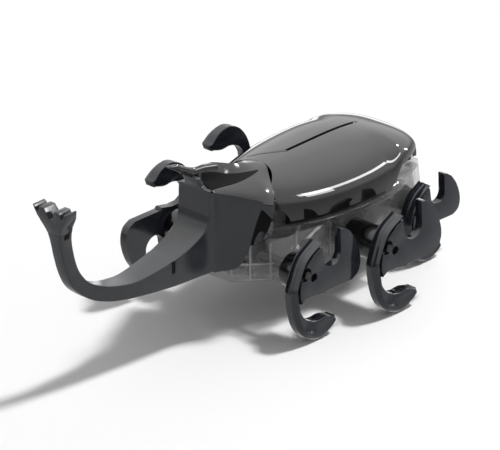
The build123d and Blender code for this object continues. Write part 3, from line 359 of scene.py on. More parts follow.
def arc_line(start, middle, end, count):
    """Points on the circle through three points in a plane."""
    (ax, ay), (bx, by), (cx, cy) = start, middle, end
    spin = 2 * (ax * (by - cy) + bx * (cy - ay) + cx * (ay - by))
    a2, b2, c2 = ax * ax + ay * ay, bx * bx + by * by, cx * cx + cy * cy
    x = (a2 * (by - cy) + b2 * (cy - ay) + c2 * (ay - by)) / spin
    y = (a2 * (cx - bx) + b2 * (ax - cx) + c2 * (bx - ax)) / spin
    radius = math.hypot(ax - x, ay - y)
    first = math.atan2(ay - y, ax - x)
    turn = (math.atan2(cy - y, cx - x) - first) % (2 * math.pi)
    if (math.atan2(by - y, bx - x) - first) % (2 * math.pi) > turn:
        turn -= 2 * math.pi
    angles = [first + turn * step / (count - 1) for step in range(count)]
    return [(x + radius * math.cos(t), y + radius * math.sin(t)) for t in angles]


def through(rows, closed=True):
    """A grid moved onto rows of points. Closed rows make a tube."""
    bm = bmesh.new()
    width = len(rows[0])
    columns = width + 1 if closed else width
    bmesh.ops.create_grid(bm, x_segments=columns - 1, y_segments=len(rows) - 1, size=1.0)
    for index, vert in enumerate(bm.verts):
        row, column = divmod(index, columns)
        vert.co = rows[row][column % width]
    bmesh.ops.remove_doubles(bm, verts=bm.verts, dist=1e-7)
    return bm


def cap_ends(bm):
    """Closes the open ends of a tube."""
    bmesh.ops.holes_fill(bm, edges=[e for e in bm.edges if e.is_boundary], sides=0)


def filled(outline, holes=()):
    """A flat face inside an outline, less its holes."""
    bm = bmesh.new()
    for ring in (outline, *holes):
        verts = [bm.verts.new(p) for p in ring]
        for start, end in zip(verts, verts[1:] + verts[:1]):
            bm.edges.new((start, end))
    bmesh.ops.triangle_fill(bm, use_beauty=True, use_dissolve=False, edges=bm.edges[:])
    return bm


def thicken(bm, offset):
    """Turns a flat face into a slab by moving a copy of it."""
    new = bmesh.ops.extrude_face_region(bm, geom=bm.faces[:])["geom"]
    bmesh.ops.translate(bm, verts=[v for v in new if isinstance(v, bmesh.types.BMVert)], vec=offset)


def bevel(bm, edges, offset, segments=2):
    bmesh.ops.bevel(
        bm, geom=edges, offset=offset, offset_type="OFFSET", segments=segments, profile=0.5,
        affect="EDGES", clamp_overlap=True, material=-1,
    )


def piece(name, bm, slot, body, replaces=(), turn_out=True, smooth_up_to=SMOOTH_UP_TO, finish=None):
    """Finishes a bmesh as a piece of the robot that rides on a body."""
    if turn_out:
        bmesh.ops.remove_doubles(bm, verts=bm.verts, dist=1e-7)
        bmesh.ops.recalc_face_normals(bm, faces=bm.faces)
    mesh = bpy.data.meshes.new(name)
    bm.to_mesh(mesh)
    bm.free()
    mesh.materials.append(finish or BY_SLOT[slot])
    mesh.shade_smooth()
    mesh.set_sharp_from_angle(angle=smooth_up_to)
    made = bpy.data.objects.new(name, mesh)
    bpy.context.scene.collection.objects.link(made)
    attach(made, body)
    if replaces:
        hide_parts(*replaces)


# ---------------------------------------------------------------- legs
# A front leg seen from outside, in millimetres behind and above its axle.
LEG_FLANGE = 0.4
LEG_TOP, LEG_FOOT = 8.8, 15.2
RIM_OUT = [(1.6, 8.0), (-3.4, 4.9), (-6.2, -1.0), (-6.3, -3.6), (-5.9, -6.5)]
FOOT_OUT = [
    (-5.9, -6.5), (-4.9, -9.8), (-3.4, -12.3), (-1.3, -14.2), (1.6, -15.18), (4.6, -14.5), (6.7, -12.7),
]
RIM_IN = [(3.2, 6.4), (-1.4, 3.0), (-3.6, 0.4), (-3.95, -2.0), (-3.9, -5.0)]
FOOT_IN = [(-3.9, -5.0), (-3.4, -7.4), (-1.6, -9.6), (1.0, -10.5), (3.6, -10.4), (6.3, -11.1)]
PLATE_LOW = [(-3.9, -5.0), (-2.4, -4.2), (0.3, -4.2), (3.5, -4.9), (3.8, -4.4), (12.0, -4.5)]
PLATE_TAIL = [(12.0, -4.5), (14.0, -3.3), (14.75, -1.0), (14.4, 1.6), (13.2, 4.6), (11.4, 7.2)]
PRONG = [(11.4, 7.2), (9.6, 8.5), (8.3, 8.8)]
NOTCH = [(8.5, 3.4), (5.7, 0.9), (2.9, 3.6)]
PLATE_RIM = [(2.5, 6.4), (1.0, 5.9), (-0.3, 5.0), (-1.9, 3.9), (-2.5, 3.1)]
PLATE_HEEL = [(-3.9, 0.5), (-4.15, -0.8), (-4.3, -1.9), (-4.3, -3.3), (-3.9, -4.6)]
PIN_ARC = [(-2.5, 3.1), (-1.15, 2.3), (-1.5, 0.2)]
UNDER_PIN_ARC = [(-1.5, 0.2), (-2.7, -0.15), (-3.9, 0.5)]
BASE_RIM = [(2.2, 7.0), (-2.4, 4.0)]
BASE_HEEL = [(-4.9, -1.2), (-4.6, -4.6)]
HOLE_STEPS = 28
RIM_STEPS, FOOT_STEPS = 34, 52
SEAM_STEP = 26
TOE_LENGTH = 0.85
PLATE_ROUND = 0.3
AXLE_HOLE = 1.0
PLATE_BACK = -1.8
RECESS_FLOOR = -1.1


def rim_section(width):
    """Beaded rim above the seam, as (inward from the edge, outward from the plate's face)."""
    return [
        (0.12, -2.8), (0.0, -2.68), (0.02, -2.5), (0.5, -2.36), (0.5, -2.16), (0.16, -2.0),
        (-0.1, -1.65), (-0.1, -1.25), (0.1, -0.92), (0.24, -0.84), (0.42, 0.22), (0.55, 0.38),
        (0.75, 0.4), (0.92, 0.25), (1.0, -0.9), (1.1, -1.05), (width - 0.05, -1.1), (width, -1.2),
        (width, -2.7), (width - 0.1, -2.8),
    ]


def shin_section(width):
    """Plain rim below the seam, still with a lip and a step down to the inside."""
    return [
        (0.12, -2.8), (0.0, -2.68), (0.0, -2.45), (0.0, -2.3), (0.0, -2.1), (0.0, -1.95),
        (0.0, -1.6), (0.0, -1.2), (0.0, -0.85), (0.06, -0.72), (0.7, 0.2), (0.82, 0.34),
        (0.98, 0.36), (1.12, 0.22), (1.22, -0.5), (1.34, -0.62), (width - 0.12, -0.55), (width, -0.68),
        (width, -2.7), (width - 0.1, -2.8),
    ]


def foot_section(width):
    """The foot, nearly flat on its side."""
    band = min(1.0, 0.25 * width)
    return [
        (0.12, -2.8), (0.0, -2.68), (0.0, -2.45), (0.0, -2.3), (0.0, -2.1), (0.0, -1.95),
        (0.0, -1.6), (0.0, -1.2), (0.0, -0.85), (0.03, -0.7), (0.6 * band, 0.0), (0.75 * band, 0.1),
        (band, 0.14), (0.45 * width, 0.02), (0.6 * width, -0.02), (0.8 * width, 0.0),
        (0.94 * width, 0.0), (width, -0.15), (width, -2.7), (width - 0.1, -2.8),
    ]


def mixed(first, second, share):
    """The section between two sections."""
    return [(a + (c - a) * share, b + (d - b) * share) for (a, b), (c, d) in zip(first, second)]


def hook_rows(place):
    """Rows of points round the hook, from the top of the rim to the tip of the foot."""
    outside = flat_line(RIM_OUT, RIM_STEPS) + flat_line(FOOT_OUT, FOOT_STEPS)[1:]
    inside = flat_line(RIM_IN, RIM_STEPS) + flat_line(FOOT_IN, FOOT_STEPS)[1:]
    rows = []
    for step, (out, into) in enumerate(zip(outside, inside)):
        width = (into - out).length
        inward = (into - out) / width
        if step < SEAM_STEP:
            section = rim_section(width)
        else:
            share = rounded((step - RIM_STEPS - 0.35 * FOOT_STEPS) / (0.3 * FOOT_STEPS))
            section = mixed(shin_section(width), foot_section(width), share)
        row = []
        for depth, raised in section:
            point = out + inward * depth
            row.append(place(point.x, point.y, raised))
        rows.append(row)
        if step == SEAM_STEP - 1:
            past = out + (outside[step + 1] - out) * 0.25
            spots = [(past + inward * depth, raised) for depth, raised in shin_section(width)]
            rows.append([place(point.x, point.y, raised) for point, raised in spots])
    tip = rows[-1]
    middle = sum(tip, Vector()) / len(tip)
    onward = (middle - sum(rows[-2], Vector()) / len(tip)).normalized() * TOE_LENGTH * MM
    for turn in (15, 30, 45, 60, 75):
        angle = math.radians(turn)
        rows.append([middle + (p - middle) * math.cos(angle) + onward * math.sin(angle) for p in tip])
    return rows


def ring_points(radius, count, place, raised):
    """Points round the axle."""
    angles = [2 * math.pi * step / count for step in range(count)]
    return [place(radius * math.cos(t), radius * math.sin(t), raised) for t in angles]


def plate_outline(rim, heel_arc):
    """Outline of the plate, with the given stretches along the rim and the heel."""
    right = [tuple(p)[:2] for p in flat_line(PLATE_TAIL, 26)]
    notch = arc_line(*NOTCH, 20)
    return PLATE_LOW[:-1] + right[:-1] + PRONG + notch + rim + heel_arc


def leg(name, node, axle, side):
    """A hook leg of plate, recessed base and rim. Right legs stand half a turn from left ones."""
    low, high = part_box(node)
    face = (high.x if side > 0 else -low.x) - LEG_FLANGE * MM
    scale = (high.z - low.z) / ((LEG_TOP + LEG_FOOT) * MM)

    def place(u, v, w):
        return Vector((
            side * (face + w * MM), axle.y + side * scale * u * MM, axle.z + side * scale * v * MM,
        ))

    hook = through(hook_rows(place))
    cap_ends(hook)
    pin_arc = arc_line(*PIN_ARC, 12)[1:] + arc_line(*UNDER_PIN_ARC, 8)[1:-1]
    top = plate_outline(PLATE_RIM, pin_arc + PLATE_HEEL)
    under = plate_outline(BASE_RIM, BASE_HEEL)
    hole = ring_points(AXLE_HOLE / scale, HOLE_STEPS, place, 0)
    plate = filled([place(*p, 0) for p in top], [hole])
    thicken(plate, Vector((side * (RECESS_FLOOR - 0.05) * MM, 0, 0)))
    bmesh.ops.recalc_face_normals(plate, faces=plate.faces)
    outer = [
        e for e in plate.edges
        if all(abs(v.co.x - side * face) < 1e-7 for v in e.verts) and e.calc_face_angle(0) > 1.0
    ]
    bevel(plate, outer, PLATE_ROUND * MM, 3)
    base_hole = ring_points(AXLE_HOLE / scale, HOLE_STEPS, place, RECESS_FLOOR)
    base = filled([place(*p, RECESS_FLOOR) for p in under], [base_hole])
    thicken(base, Vector((side * (PLATE_BACK - RECESS_FLOOR) * MM, 0, 0)))
    whole = bmesh.new()
    for part in (hook, plate, base):
        bmesh.ops.recalc_face_normals(part, faces=part.faces)
        mesh = bpy.data.meshes.new("part")
        part.to_mesh(mesh)
        whole.from_mesh(mesh)
        bpy.data.meshes.remove(mesh)
        part.free()
    body = frame["nodes"][node]["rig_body"]
    piece(name, whole, "leg_black", body, [node], turn_out=False)


AXLES = {"front": FRONT_AXLE, "middle": MIDDLE_AXLE, "rear": REAR_AXLE}
for axle_name, axle_place in AXLES.items():
    for side_name, side_sign in SIDES:
        leg(f"{axle_name}_{side_name}_hook_leg", f"{axle_name}_{side_name}_leg", axle_place, side_sign)


# ---------------------------------------------------------------- wing shell
SHELL_HALF_WIDTH = 14.85
SHELL_WIDEST = 27.0
SHELL_FRONT_REACH = 31.7
SHELL_END = 51.25
SHELL_CREST = 22.0
SHELL_SEAT = 22.25
SHELL_RISE = 11.35
SHELL_FULLNESS = 2.5
SHELL_WALL = 0.9
LIP_RAISE = 1.2
ARCH_RAISE = 3.5
GAP_SHADE_INSET = 1.5
GAP_SHADE_ARCH_INSET = 2.4
SHELL_FRONT_EDGE = ((0, 4.6), (15, 2.6), (30, 1.9), (50, 2.5), (70, 5.0), (90, 7.0))
GROOVE = (14.2, 37.0)
GROOVE_HALF_WIDTH = 0.45
GROOVE_DEPTH = 0.55
GROOVE_RUN_OUT = 0.6
CREST_HALF_WIDTH, CREST_FROM = 1.6, 84
SHELL_STEPS = 120
SIDE_GROOVE = ((-0.1, 14.6), (-1.2, 12.6), (-3.2, 9.6), (-4.6, 7.2))
GAP_SHADE_FRONT, GAP_SHADE_REAR = 4.8, 50.45
GAP_SHADE_RISE = 0.9
INNER_AXIS, INNER_AXIS_DROP = (12.0, 40.0), 2.0


def shell_half_width(along):
    reach = SHELL_FRONT_REACH if along < SHELL_WIDEST else SHELL_END - SHELL_WIDEST
    share = min(1.0, abs(along - SHELL_WIDEST) / reach)
    return SHELL_HALF_WIDTH * math.sqrt(1 - share ** 2)


def shell_rise(along):
    share = min(1.0, max(0.0, along - SHELL_CREST) / (SHELL_END - SHELL_CREST))
    return SHELL_RISE * math.sqrt(1 - share ** 3)


def leg_arch(along):
    """1 over a rear leg, 0 away from it."""
    return rounded((along - 32.5) / 5.0) * rounded((48.0 - along) / 3.0)


def lip_height(along):
    """How far the lip stands over its seat; it arches over the rear legs."""
    return LIP_RAISE + ARCH_RAISE * leg_arch(along)


def shell_point(along, degrees, across=None):
    """Half-width and height over the seat, at an angle round the section or a distance across."""
    wide = max(shell_half_width(along), 1e-3)
    if across is None:
        out = math.cos(math.radians(degrees)) ** (2 / SHELL_FULLNESS)
    else:
        out = min(1.0, abs(across) / wide)
    up = (1 - out ** SHELL_FULLNESS) ** (1 / SHELL_FULLNESS)
    lift, rise = lip_height(along), shell_rise(along)
    if rise > lift:
        return wide * out, lift + (rise - lift) * up
    return wide * out, lift * up


def inside_of(point):
    """The point on the shell's inner face behind a point on its outer face."""
    low, high = (spot(0, along, SHELL_SEAT) for along in INNER_AXIS)
    axis = Vector((0, min(high.y, max(low.y, point.y)), low.z - INNER_AXIS_DROP * MM))
    inward = (axis - point).normalized() * SHELL_WALL * MM
    return Vector((point.x + inward.x, point.y + inward.y, max(point.z + inward.z, low.z)))


def wing_shell():
    """Egg-shaped shell with its centre groove, open in front under the neck shield."""
    sides = range(0, CREST_FROM, 4)
    groove = GROOVE_HALF_WIDTH
    middle = [CREST_HALF_WIDTH, 1.1, groove + 0.12, groove, groove - 0.1, 0.0]
    columns = [("degrees", d, 1) for d in sides] + [("across", x, 1) for x in middle]
    columns += [(kind, value, -1) for kind, value, _ in reversed(columns[:-1])]
    rows = []
    for step in range(SHELL_STEPS):
        share = 1 - (1 - step / SHELL_STEPS) ** 1.7
        row = []
        for kind, value, side in columns:
            degrees = value
            if kind == "across":
                degrees = CREST_FROM + (90 - CREST_FROM) * (1 - value / CREST_HALF_WIDTH)
            start = lookup(SHELL_FRONT_EDGE, degrees)
            along = start + (SHELL_END - start) * share
            x, up = shell_point(along, degrees, value if kind == "across" else None)
            if kind == "across" and value < GROOVE_HALF_WIDTH:
                front, rear = (abs(along - end) / GROOVE_RUN_OUT for end in GROOVE)
                if GROOVE[0] < along < GROOVE[1]:
                    up -= GROOVE_DEPTH * rounded(front) * rounded(rear)
            row.append(spot(side * x, along, SHELL_SEAT + up))
        if step == 0:
            rows.append(row + row[::-1])
        rows.append(row + [inside_of(p) for p in reversed(row)])
    bm = through(rows)
    cap_ends(bm)
    piece("wing_shell_cover", bm, "shell_black", "chassis", ["wing_shell"])


def shell_gap_shade():
    """Painted shade: a near-black strip set in under the shell's lip, filling the gap between the lip and
    the clear deck where shade falls.
    """
    line = []
    for step in range(61):
        along = GAP_SHADE_FRONT + (GAP_SHADE_REAR - GAP_SHADE_FRONT) * math.sin(math.radians(1.5 * step))
        inset = GAP_SHADE_INSET + GAP_SHADE_ARCH_INSET * leg_arch(along)
        line.append((shell_half_width(along) - inset, along))
    line += [(-x, along) for x, along in reversed(line[:-1])]
    rows = []
    for x, along in line:
        inward = (SHELL_WIDEST - along) * 0.012
        top = SHELL_SEAT + lip_height(along) + GAP_SHADE_RISE
        near, far = (x, along), (x * 0.94, along + inward)
        rows.append([spot(*near, SHELL_SEAT), spot(*near, top), spot(*far, top), spot(*far, SHELL_SEAT)])
    bm = through(rows)
    cap_ends(bm)
    piece("wing_shell_gap_shade", bm, "hub_black", "chassis", finish=PAINTED_SHADE_BLACK)


def side_groove_shade():
    """Painted shade of the side groove: a thin dark strip on the shell that runs from the centre groove to
    the shell's front edge.
    """
    centre = flat_line(SIDE_GROOVE, 24)
    rows = []
    for step, point in enumerate(centre):
        half = 0.55 - 0.35 * step / len(centre)
        row = []
        for offset, sink in ((-half, 0.05), (-half, -0.04), (half, -0.04), (half, 0.05)):
            x = point.x + offset
            _, up = shell_point(point.y, 0, x)
            row.append(spot(x, point.y, SHELL_SEAT + up - sink))
        rows.append(row)
    bm = through(rows)
    cap_ends(bm)
    piece("wing_shell_side_groove_shade", bm, "hub_black", "chassis")


TAIL_START, TAIL_LOW, TAIL_BLEND, TAIL_DRAW = 46.0, 15.0, 6.0, 0.42
RIB_THICKNESS = 0.32
POST_FOOT = 11.8
POSTS = ((4.5, -7.8, 20.5), (7.4, -4.9, 20.5), (10.2, -1.6, 20.5), (11.2, 5.6, 21.0), (11.2, 16.2, 21.0))
NOSE_LINE = ((4.5, -7.9), (10.3, -1.6), (11.2, 2.4))
NOSE_RIBS = (("nose_ledge", 12.0), ("nose_rail", 15.6))


def drawn_in_tail(name, node):
    """The clear housing with its upper tail drawn in under the shell."""
    bm = bmesh.new()
    bm.from_mesh(frame["nodes"][node].data)
    bmesh.ops.remove_doubles(bm, verts=bm.verts, dist=0.002 * MM)
    bmesh.ops.recalc_face_normals(bm, faces=bm.faces)
    start = spot(0, TAIL_START, TAIL_LOW)
    for vert in bm.verts:
        past = max(0.0, vert.co.y - start.y)
        over = max(0.0, vert.co.z - start.z)
        vert.co.y -= past * TAIL_DRAW * min(1.0, over / (TAIL_BLEND * MM))
    piece(name, bm, "clear_smoke", "chassis", [node])


def rib(name, points, upright):
    """A thin raised rib of clear plastic along a line of (x, along, up) points; its lighter copy of the
    clear plastic is a painted highlight for the rib's bright edge.
    """
    half = RIB_THICKNESS / 2
    corners = ((-half, -half), (half, -half), (half, half), (-half, half))
    rows = []
    for x, along, up in points:
        if upright:
            rows.append([spot(x + a, along + b, up) for a, b in corners])
        else:
            rows.append([spot(x + a, along, up + b) for a, b in corners])
    bm = through(rows)
    cap_ends(bm)
    piece(name, bm, "clear_smoke", "chassis", finish=CLEAR_RIB_HIGHLIGHT)


def housing_ribs():
    """Posts and ledges that stiffen the clear housing."""
    for side_name, side in SIDES:
        for count, (x, along, top) in enumerate(POSTS, 1):
            rib(f"post_{side_name}_{count}", [(side * x, along, POST_FOOT), (side * x, along, top)], True)
        for label, up in NOSE_RIBS:
            rib(f"{label}_{side_name}", [(side * x, along, up) for x, along in NOSE_LINE], False)


housing_ribs()
wing_shell()
shell_gap_shade()
side_groove_shade()
drawn_in_tail("clear_tub", "chassis_tub")
drawn_in_tail("clear_deck", "chassis_deck")


# ---------------------------------------------------------------- neck shield
# Stations from the front to the rear edge. Each runs from the crest to the near edge:
# crest, spine side, lip, bottom of the scoop, scoop's outer edge, slope, shoulder, edge.
SHIELD_STATIONS = [
    [(0, -14.3, 39.3), (0.45, -14.3, 39.0), (0.8, -14.2, 38.2), (0.9, -13.9, 35.6),
     (2.6, -13.8, 35.0), (3.6, -13.5, 34.9), (4.3, -13.3, 34.7), (4.4, -13.2, 34.4)],
    [(0, -12, 39.3), (0.5, -12, 38.8), (0.95, -12, 37.6), (1.5, -12, 35.2),
     (3.4, -12, 34.75), (4.4, -12, 34.6), (5.0, -12, 34.3), (5.1, -12, 33.9)],
    [(0, -9, 38.8), (0.65, -9, 37.9), (1.25, -9, 36.5), (1.8, -9, 34.5),
     (2.9, -9, 34.5), (5.0, -9, 34.2), (6.3, -9, 33.6), (6.8, -9, 32.7)],
    [(0, -6, 37.7), (0.8, -6, 36.8), (1.5, -6, 35.3), (1.9, -6, 34.4),
     (2.4, -6, 34.4), (5.5, -6, 34.0), (8.2, -6, 32.9), (9.0, -6, 31.4)],
    [(0, -3, 36.5), (0.9, -3, 35.8), (1.5, -2.8, 34.7), (1.75, -2.7, 34.5),
     (2.2, -2.7, 34.45), (6.0, -3, 33.8), (9.6, -3.4, 32.2), (10.9, -3.6, 30.4)],
    [(0, 1.0, 35.2), (0.9, 1.0, 34.9), (1.6, 1.0, 34.6), (2.0, 0.9, 34.45),
     (2.6, 0.8, 34.3), (6.4, 0, 33.3), (9.8, -1.6, 31.9), (11.3, -2.8, 30.1)],
    [(0, 6.8, 33.7), (0.9, 6.5, 33.7), (1.7, 6.1, 33.65), (2.4, 5.7, 33.6),
     (3.2, 5.1, 33.5), (6.8, 2.2, 32.3), (9.6, 0.2, 31.2), (11.4, -1.9, 29.9)],
]
SPINE_STATIONS = [
    (-8.0, 37.2, 0.9, 1.2), (-12.0, 37.9, 0.8, 1.35), (-15.0, 38.4, 0.75, 1.2),
    (-18.5, 40.2, 0.7, 1.05), (-19.8, 41.1, 0.65, 0.85), (-22.0, 42.0, 0.5, 0.45), (-23.2, 42.4, 0.3, 0.2),
]
SHIELD_ACROSS, SHIELD_STEPS = 30, 44
SHIELD_WALL = 0.7
SCOOP_START, SCOOP_STEPS, SCOOP_ACROSS = 2, 36, 12
SCOOP_INNER, SCOOP_OUTER, SCOOP_TAPER = 6.5, 24.5, 17.5
SCOOP_OVER, SCOOP_UNDER = 0.09, 0.2
SPINE_SIDES = 20


def shield_columns():
    """Lines of points from the shield's front to its rear, from the crest outwards."""
    lines = [smooth_line(station, SHIELD_ACROSS) for station in SHIELD_STATIONS]
    columns = [smooth_line([line[i] for line in lines], SHIELD_STEPS) for i in range(SHIELD_ACROSS)]
    return relaxed(columns, 14)


def relaxed(columns, turns):
    """Evens out small waves inside a grid of points, with its rim held."""
    for _ in range(turns):
        before = [list(column) for column in columns]
        for i in range(1, len(before) - 1):
            for j in range(1, len(before[0]) - 1):
                around = before[i - 1][j] + before[i + 1][j] + before[i][j - 1] + before[i][j + 1]
                columns[i][j] = around / 4
    return columns


def scoop(name, side):
    """Painted shade: a near-black sheet on the hollow beside the spine, where shade falls; it narrows
    towards the rear.
    """
    columns = shield_columns()
    rows = []
    for step in range(SCOOP_STEPS):
        outer = SCOOP_OUTER - SCOOP_TAPER * step / (SCOOP_STEPS - 1)
        top = []
        for count in range(SCOOP_ACROSS + 1):
            at = SCOOP_INNER + (outer - SCOOP_INNER) * count / SCOOP_ACROSS
            low = int(at)
            near, far = (columns[i][SCOOP_START + step] for i in (low, low + 1))
            point = near.lerp(far, at - low)
            top.append((side * point.x, point.y, point.z))
        rows.append(
            [spot(x, along, up + SCOOP_OVER) for x, along, up in top]
            + [spot(x, along, up - SCOOP_UNDER) for x, along, up in reversed(top)]
        )
    bm = through(rows)
    cap_ends(bm)
    piece(name, bm, "hub_black", "chassis", finish=PAINTED_SHADE_BLACK)


def neck_shield():
    """The cap over the neck, and the spine that points forward from it."""
    columns = shield_columns()
    rows = []
    for step in range(SHIELD_STEPS):
        near = [column[step] for column in columns]
        row = [spot(-p.x, p.y, p.z) for p in reversed(near[1:])] + [spot(*p) for p in near]
        rows.append(row)
    bm = through(rows, closed=False)
    if sum(f.normal.z * f.calc_area() for f in bm.faces) < 0:
        bmesh.ops.reverse_faces(bm, faces=bm.faces)
    bmesh.ops.solidify(bm, geom=bm.faces[:], thickness=SHIELD_WALL * MM)
    piece("neck_shield", bm, "shell_black", "chassis", ["pronotum_cap"], finish=SHIELD_BLACK)
    rows = []
    for along, up, wide, high in smooth_spine():
        rows.append([
            spot(wide * math.cos(t), along, up + high * math.sin(t))
            for t in (2 * math.pi * k / SPINE_SIDES for k in range(SPINE_SIDES))
        ])
    bm = through(rows)
    cap_ends(bm)
    piece("neck_spine", bm, "shell_black", "chassis")


def smooth_spine():
    """Places along the spine as (along, up, half-width, half-height)."""
    places = smooth_line([(0, a, u) for a, u, _, _ in SPINE_STATIONS], 40)
    table_wide = [(-a, w) for a, _, w, _ in SPINE_STATIONS]
    table_high = [(-a, h) for a, _, _, h in SPINE_STATIONS]
    return [(p.y, p.z, lookup(table_wide, -p.y), lookup(table_high, -p.y)) for p in places]


neck_shield()
for side_name, side_sign in SIDES:
    scoop(f"neck_scoop_shade_{side_name}", side_sign)


# ---------------------------------------------------------------- head and horn
# Half-width of head and horn, from the rear of the cheeks to the shaft, as (along, half-width).
BLADE_PLAN = [
    (-1.6, 11.4), (-3.6, 10.6), (-5.6, 9.5), (-8.8, 7.3), (-11.0, 5.95), (-13.0, 5.0), (-15.0, 4.4),
    (-18.0, 4.05), (-24.0, 3.7), (-35.0, 2.9), (-46.0, 2.0), (-52.6, 1.5), (-62.0, 1.45),
]
BLADE_WIDTHS = [(-p.x, p.y) for p in flat_line(BLADE_PLAN, 160)]
SHAFT_FROM = -50.0
SHAFT_WIDTHS = [(28.0, 1.5), (35.0, 1.5), (37.0, 1.65), (38.6, 1.95)]
SLIDE_INNER = [(-14.6, 34.9), (-14.6, 32.0), (-14.6, 29.2)]
SLIDE_OUTER = [(-13.3, 34.4), (-13.3, 26.0), (-13.3, 16.1)]
ROOT_INNER = [(-14.6, 29.2), (-15.4, 26.8), (-17.1, 25.2), (-20.2, 23.6), (-23.8, 22.4)]
ROOT_OUTER = [(-13.3, 16.1), (-15.0, 15.85), (-19.0, 15.85), (-25.0, 16.0)]
BLADE_INNER = [
    (-23.8, 22.4), (-29.2, 21.4), (-35.2, 20.75), (-39.7, 21.2), (-44.3, 22.4), (-48.7, 24.5),
    (-51.4, 27.4), (-53.0, 30.6), (-54.2, 35.2), (-54.7, 38.6),
]
BLADE_OUTER = [
    (-25.0, 16.0), (-30.0, 16.4), (-35.3, 16.95), (-39.8, 17.6), (-43.6, 18.5), (-47.3, 19.9),
    (-50.3, 21.7), (-53.4, 24.4), (-55.4, 27.7), (-57.2, 33.0), (-58.4, 38.6),
]
FORK_INNER = [(38.6, -54.7), (42.1, -55.5), (45.0, -56.35)]
FORK_OUTER = [(38.6, -58.4), (41.0, -59.1), (45.0, -60.0)]
FORK_HALF = [
    (0.0, 42.2), (0.4, 42.25), (1.43, 44.9), (2.87, 44.9), (3.3, 43.4), (3.7, 43.4), (4.25, 44.9),
    (4.75, 44.9), (4.0, 42.6), (3.0, 40.9), (2.35, 39.8), (1.95, 38.6),
]
TAB_HALF = [(4.3, 34.7), (4.3, 34.95), (2.8, 35.2), (2.4, 35.6), (2.25, 36.2), (2.2, 37.7), (1.9, 37.9)]
CHEEK_EDGE = [
    (-13.4, 15.85), (-9.6, 15.85), (-8.7, 16.2), (-7.9, 17.3), (-7.3, 18.8), (-6.7, 20.2),
    (-5.4, 21.1), (-3.8, 22.1), (-2.6, 23.6), (-1.7, 25.8),
]
CHEEK_STEP = 6  # how many points of the edge lie below the window
CHEEK_TOP = [(-1.6, 29.9), (-5.0, 31.3), (-9.0, 32.9), (-13.4, 34.5)]
CHEEK_REAR = (-1.6, 27.0)
WINDOW = [
    (-6.7, 20.2), (-6.3, 22.4), (-5.7, 25.0), (-5.2, 27.0), (-4.7, 28.5), (-4.3, 29.2), (-3.7, 28.6),
    (-1.7, 25.8),
]
WINDOW_REAR = [(-3.6, 29.3), (-1.65, 26.6)]
LOBE = [(-5.7, 20.7), (-5.3, 22.4), (-4.7, 23.6), (-4.0, 23.9), (-3.4, 23.3), (-3.3, 22.5)]
LOBE_FOOT = (-4.2, 21.8)
TAB_BEND, TAB_LEAN = 34.9, 0.5
TAB_FRONT, TAB_BACK = -14.6, -13.5
EDGE_ROUND = 0.15
# Name, along, up, length and height of each patch of painted shade.
HORN_RECESS_SHADES = (("slot", -25.0, 20.6, 1.0, 2.8), ("recess", -56.3, 37.9, 1.6, 1.3))


def blade_half_width(along, up):
    """Half-width of head and horn; the shaft widens towards its fork."""
    if along < SHAFT_FROM and up > SHAFT_WIDTHS[0][0]:
        return lookup(SHAFT_WIDTHS, up)
    return lookup(BLADE_WIDTHS, -along)


def blade_section(inner, outer, round_off=0.28):
    """Closed section of the blade between its inner and outer edge."""
    (inner_along, inner_up), (outer_along, outer_up) = inner, outer
    deep = math.hypot(inner_along - outer_along, inner_up - outer_up)
    turns = [math.radians(30 * k) for k in range(4)]
    steps = [(round_off * (1 - math.sin(t)), round_off * (1 - math.cos(t))) for t in turns]
    side = [(cut, sink / deep) for cut, sink in steps]
    side += [(cut, 1 - sink / deep) for cut, sink in reversed(steps)]
    row = []
    for sign, order in ((1, side), (-1, side[::-1])):
        for cut, share in order:
            along = outer_along + (inner_along - outer_along) * share
            up = outer_up + (inner_up - outer_up) * share
            row.append(spot(sign * (blade_half_width(along, up) - cut), along, up))
    return row


def horn_band():
    """Front of the head and the horn up to its fork, in one piece."""
    rows = []
    for inner, outer, steps in (
        (SLIDE_INNER, SLIDE_OUTER, 10), (ROOT_INNER, ROOT_OUTER, 22), (BLADE_INNER, BLADE_OUTER, 80),
    ):
        for near, far in zip(flat_line(inner, steps), flat_line(outer, steps)):
            rows.append(blade_section((near.x, near.y), (far.x, far.y)))
    bm = through(rows)
    cap_ends(bm)
    piece("horn_blade", bm, "head_black", "chassis", ["horn"], smooth_up_to=math.radians(16))


def front_plate(name, half, front, back, smooth_up_to=SMOOTH_UP_TO):
    """A plate across the front, given by half its outline as (x, up) and its two faces."""
    mirrored = [(-x, up) for x, up in reversed(half) if x > 0]
    bm = filled([Vector((x, 0, up)) for x, up in half + mirrored])
    thicken(bm, Vector((0, 1, 0)))
    for vert in bm.verts:
        face = front if vert.co.y < 0.5 else back
        vert.co = spot(vert.co.x, face(vert.co.z), vert.co.z)
    bmesh.ops.recalc_face_normals(bm, faces=bm.faces)
    edges = [e for e in bm.edges if e.calc_face_angle(0) > math.radians(30)]
    bevel(bm, edges, EDGE_ROUND * MM)
    piece(name, bm, "head_black", "chassis", smooth_up_to=smooth_up_to)


def horn_fork():
    """Four-pronged fork."""

    def outer(up):
        return lookup(FORK_OUTER, up)

    def inner(up):
        return lookup(FORK_INNER, up)

    front_plate("horn_fork", FORK_HALF, outer, inner, math.radians(25))


def slide_tab():
    """Tab at the top of the head's front face, under the spine; it leans forward."""

    def lean(up):
        return TAB_LEAN * max(0.0, up - TAB_BEND)

    def front(up):
        return TAB_FRONT - lean(up)

    def back(up):
        return TAB_BACK - lean(up)

    front_plate("head_tab", TAB_HALF, front, back)


def sliced(bm, along_from, along_to, count):
    """Adds edges across a flat sheet so that it can bend."""
    for step in range(1, count):
        along = along_from + (along_to - along_from) * step / count
        geometry = bm.verts[:] + bm.edges[:] + bm.faces[:]
        bmesh.ops.bisect_plane(bm, geom=geometry, plane_co=(0, along, 0), plane_no=(0, 1, 0))


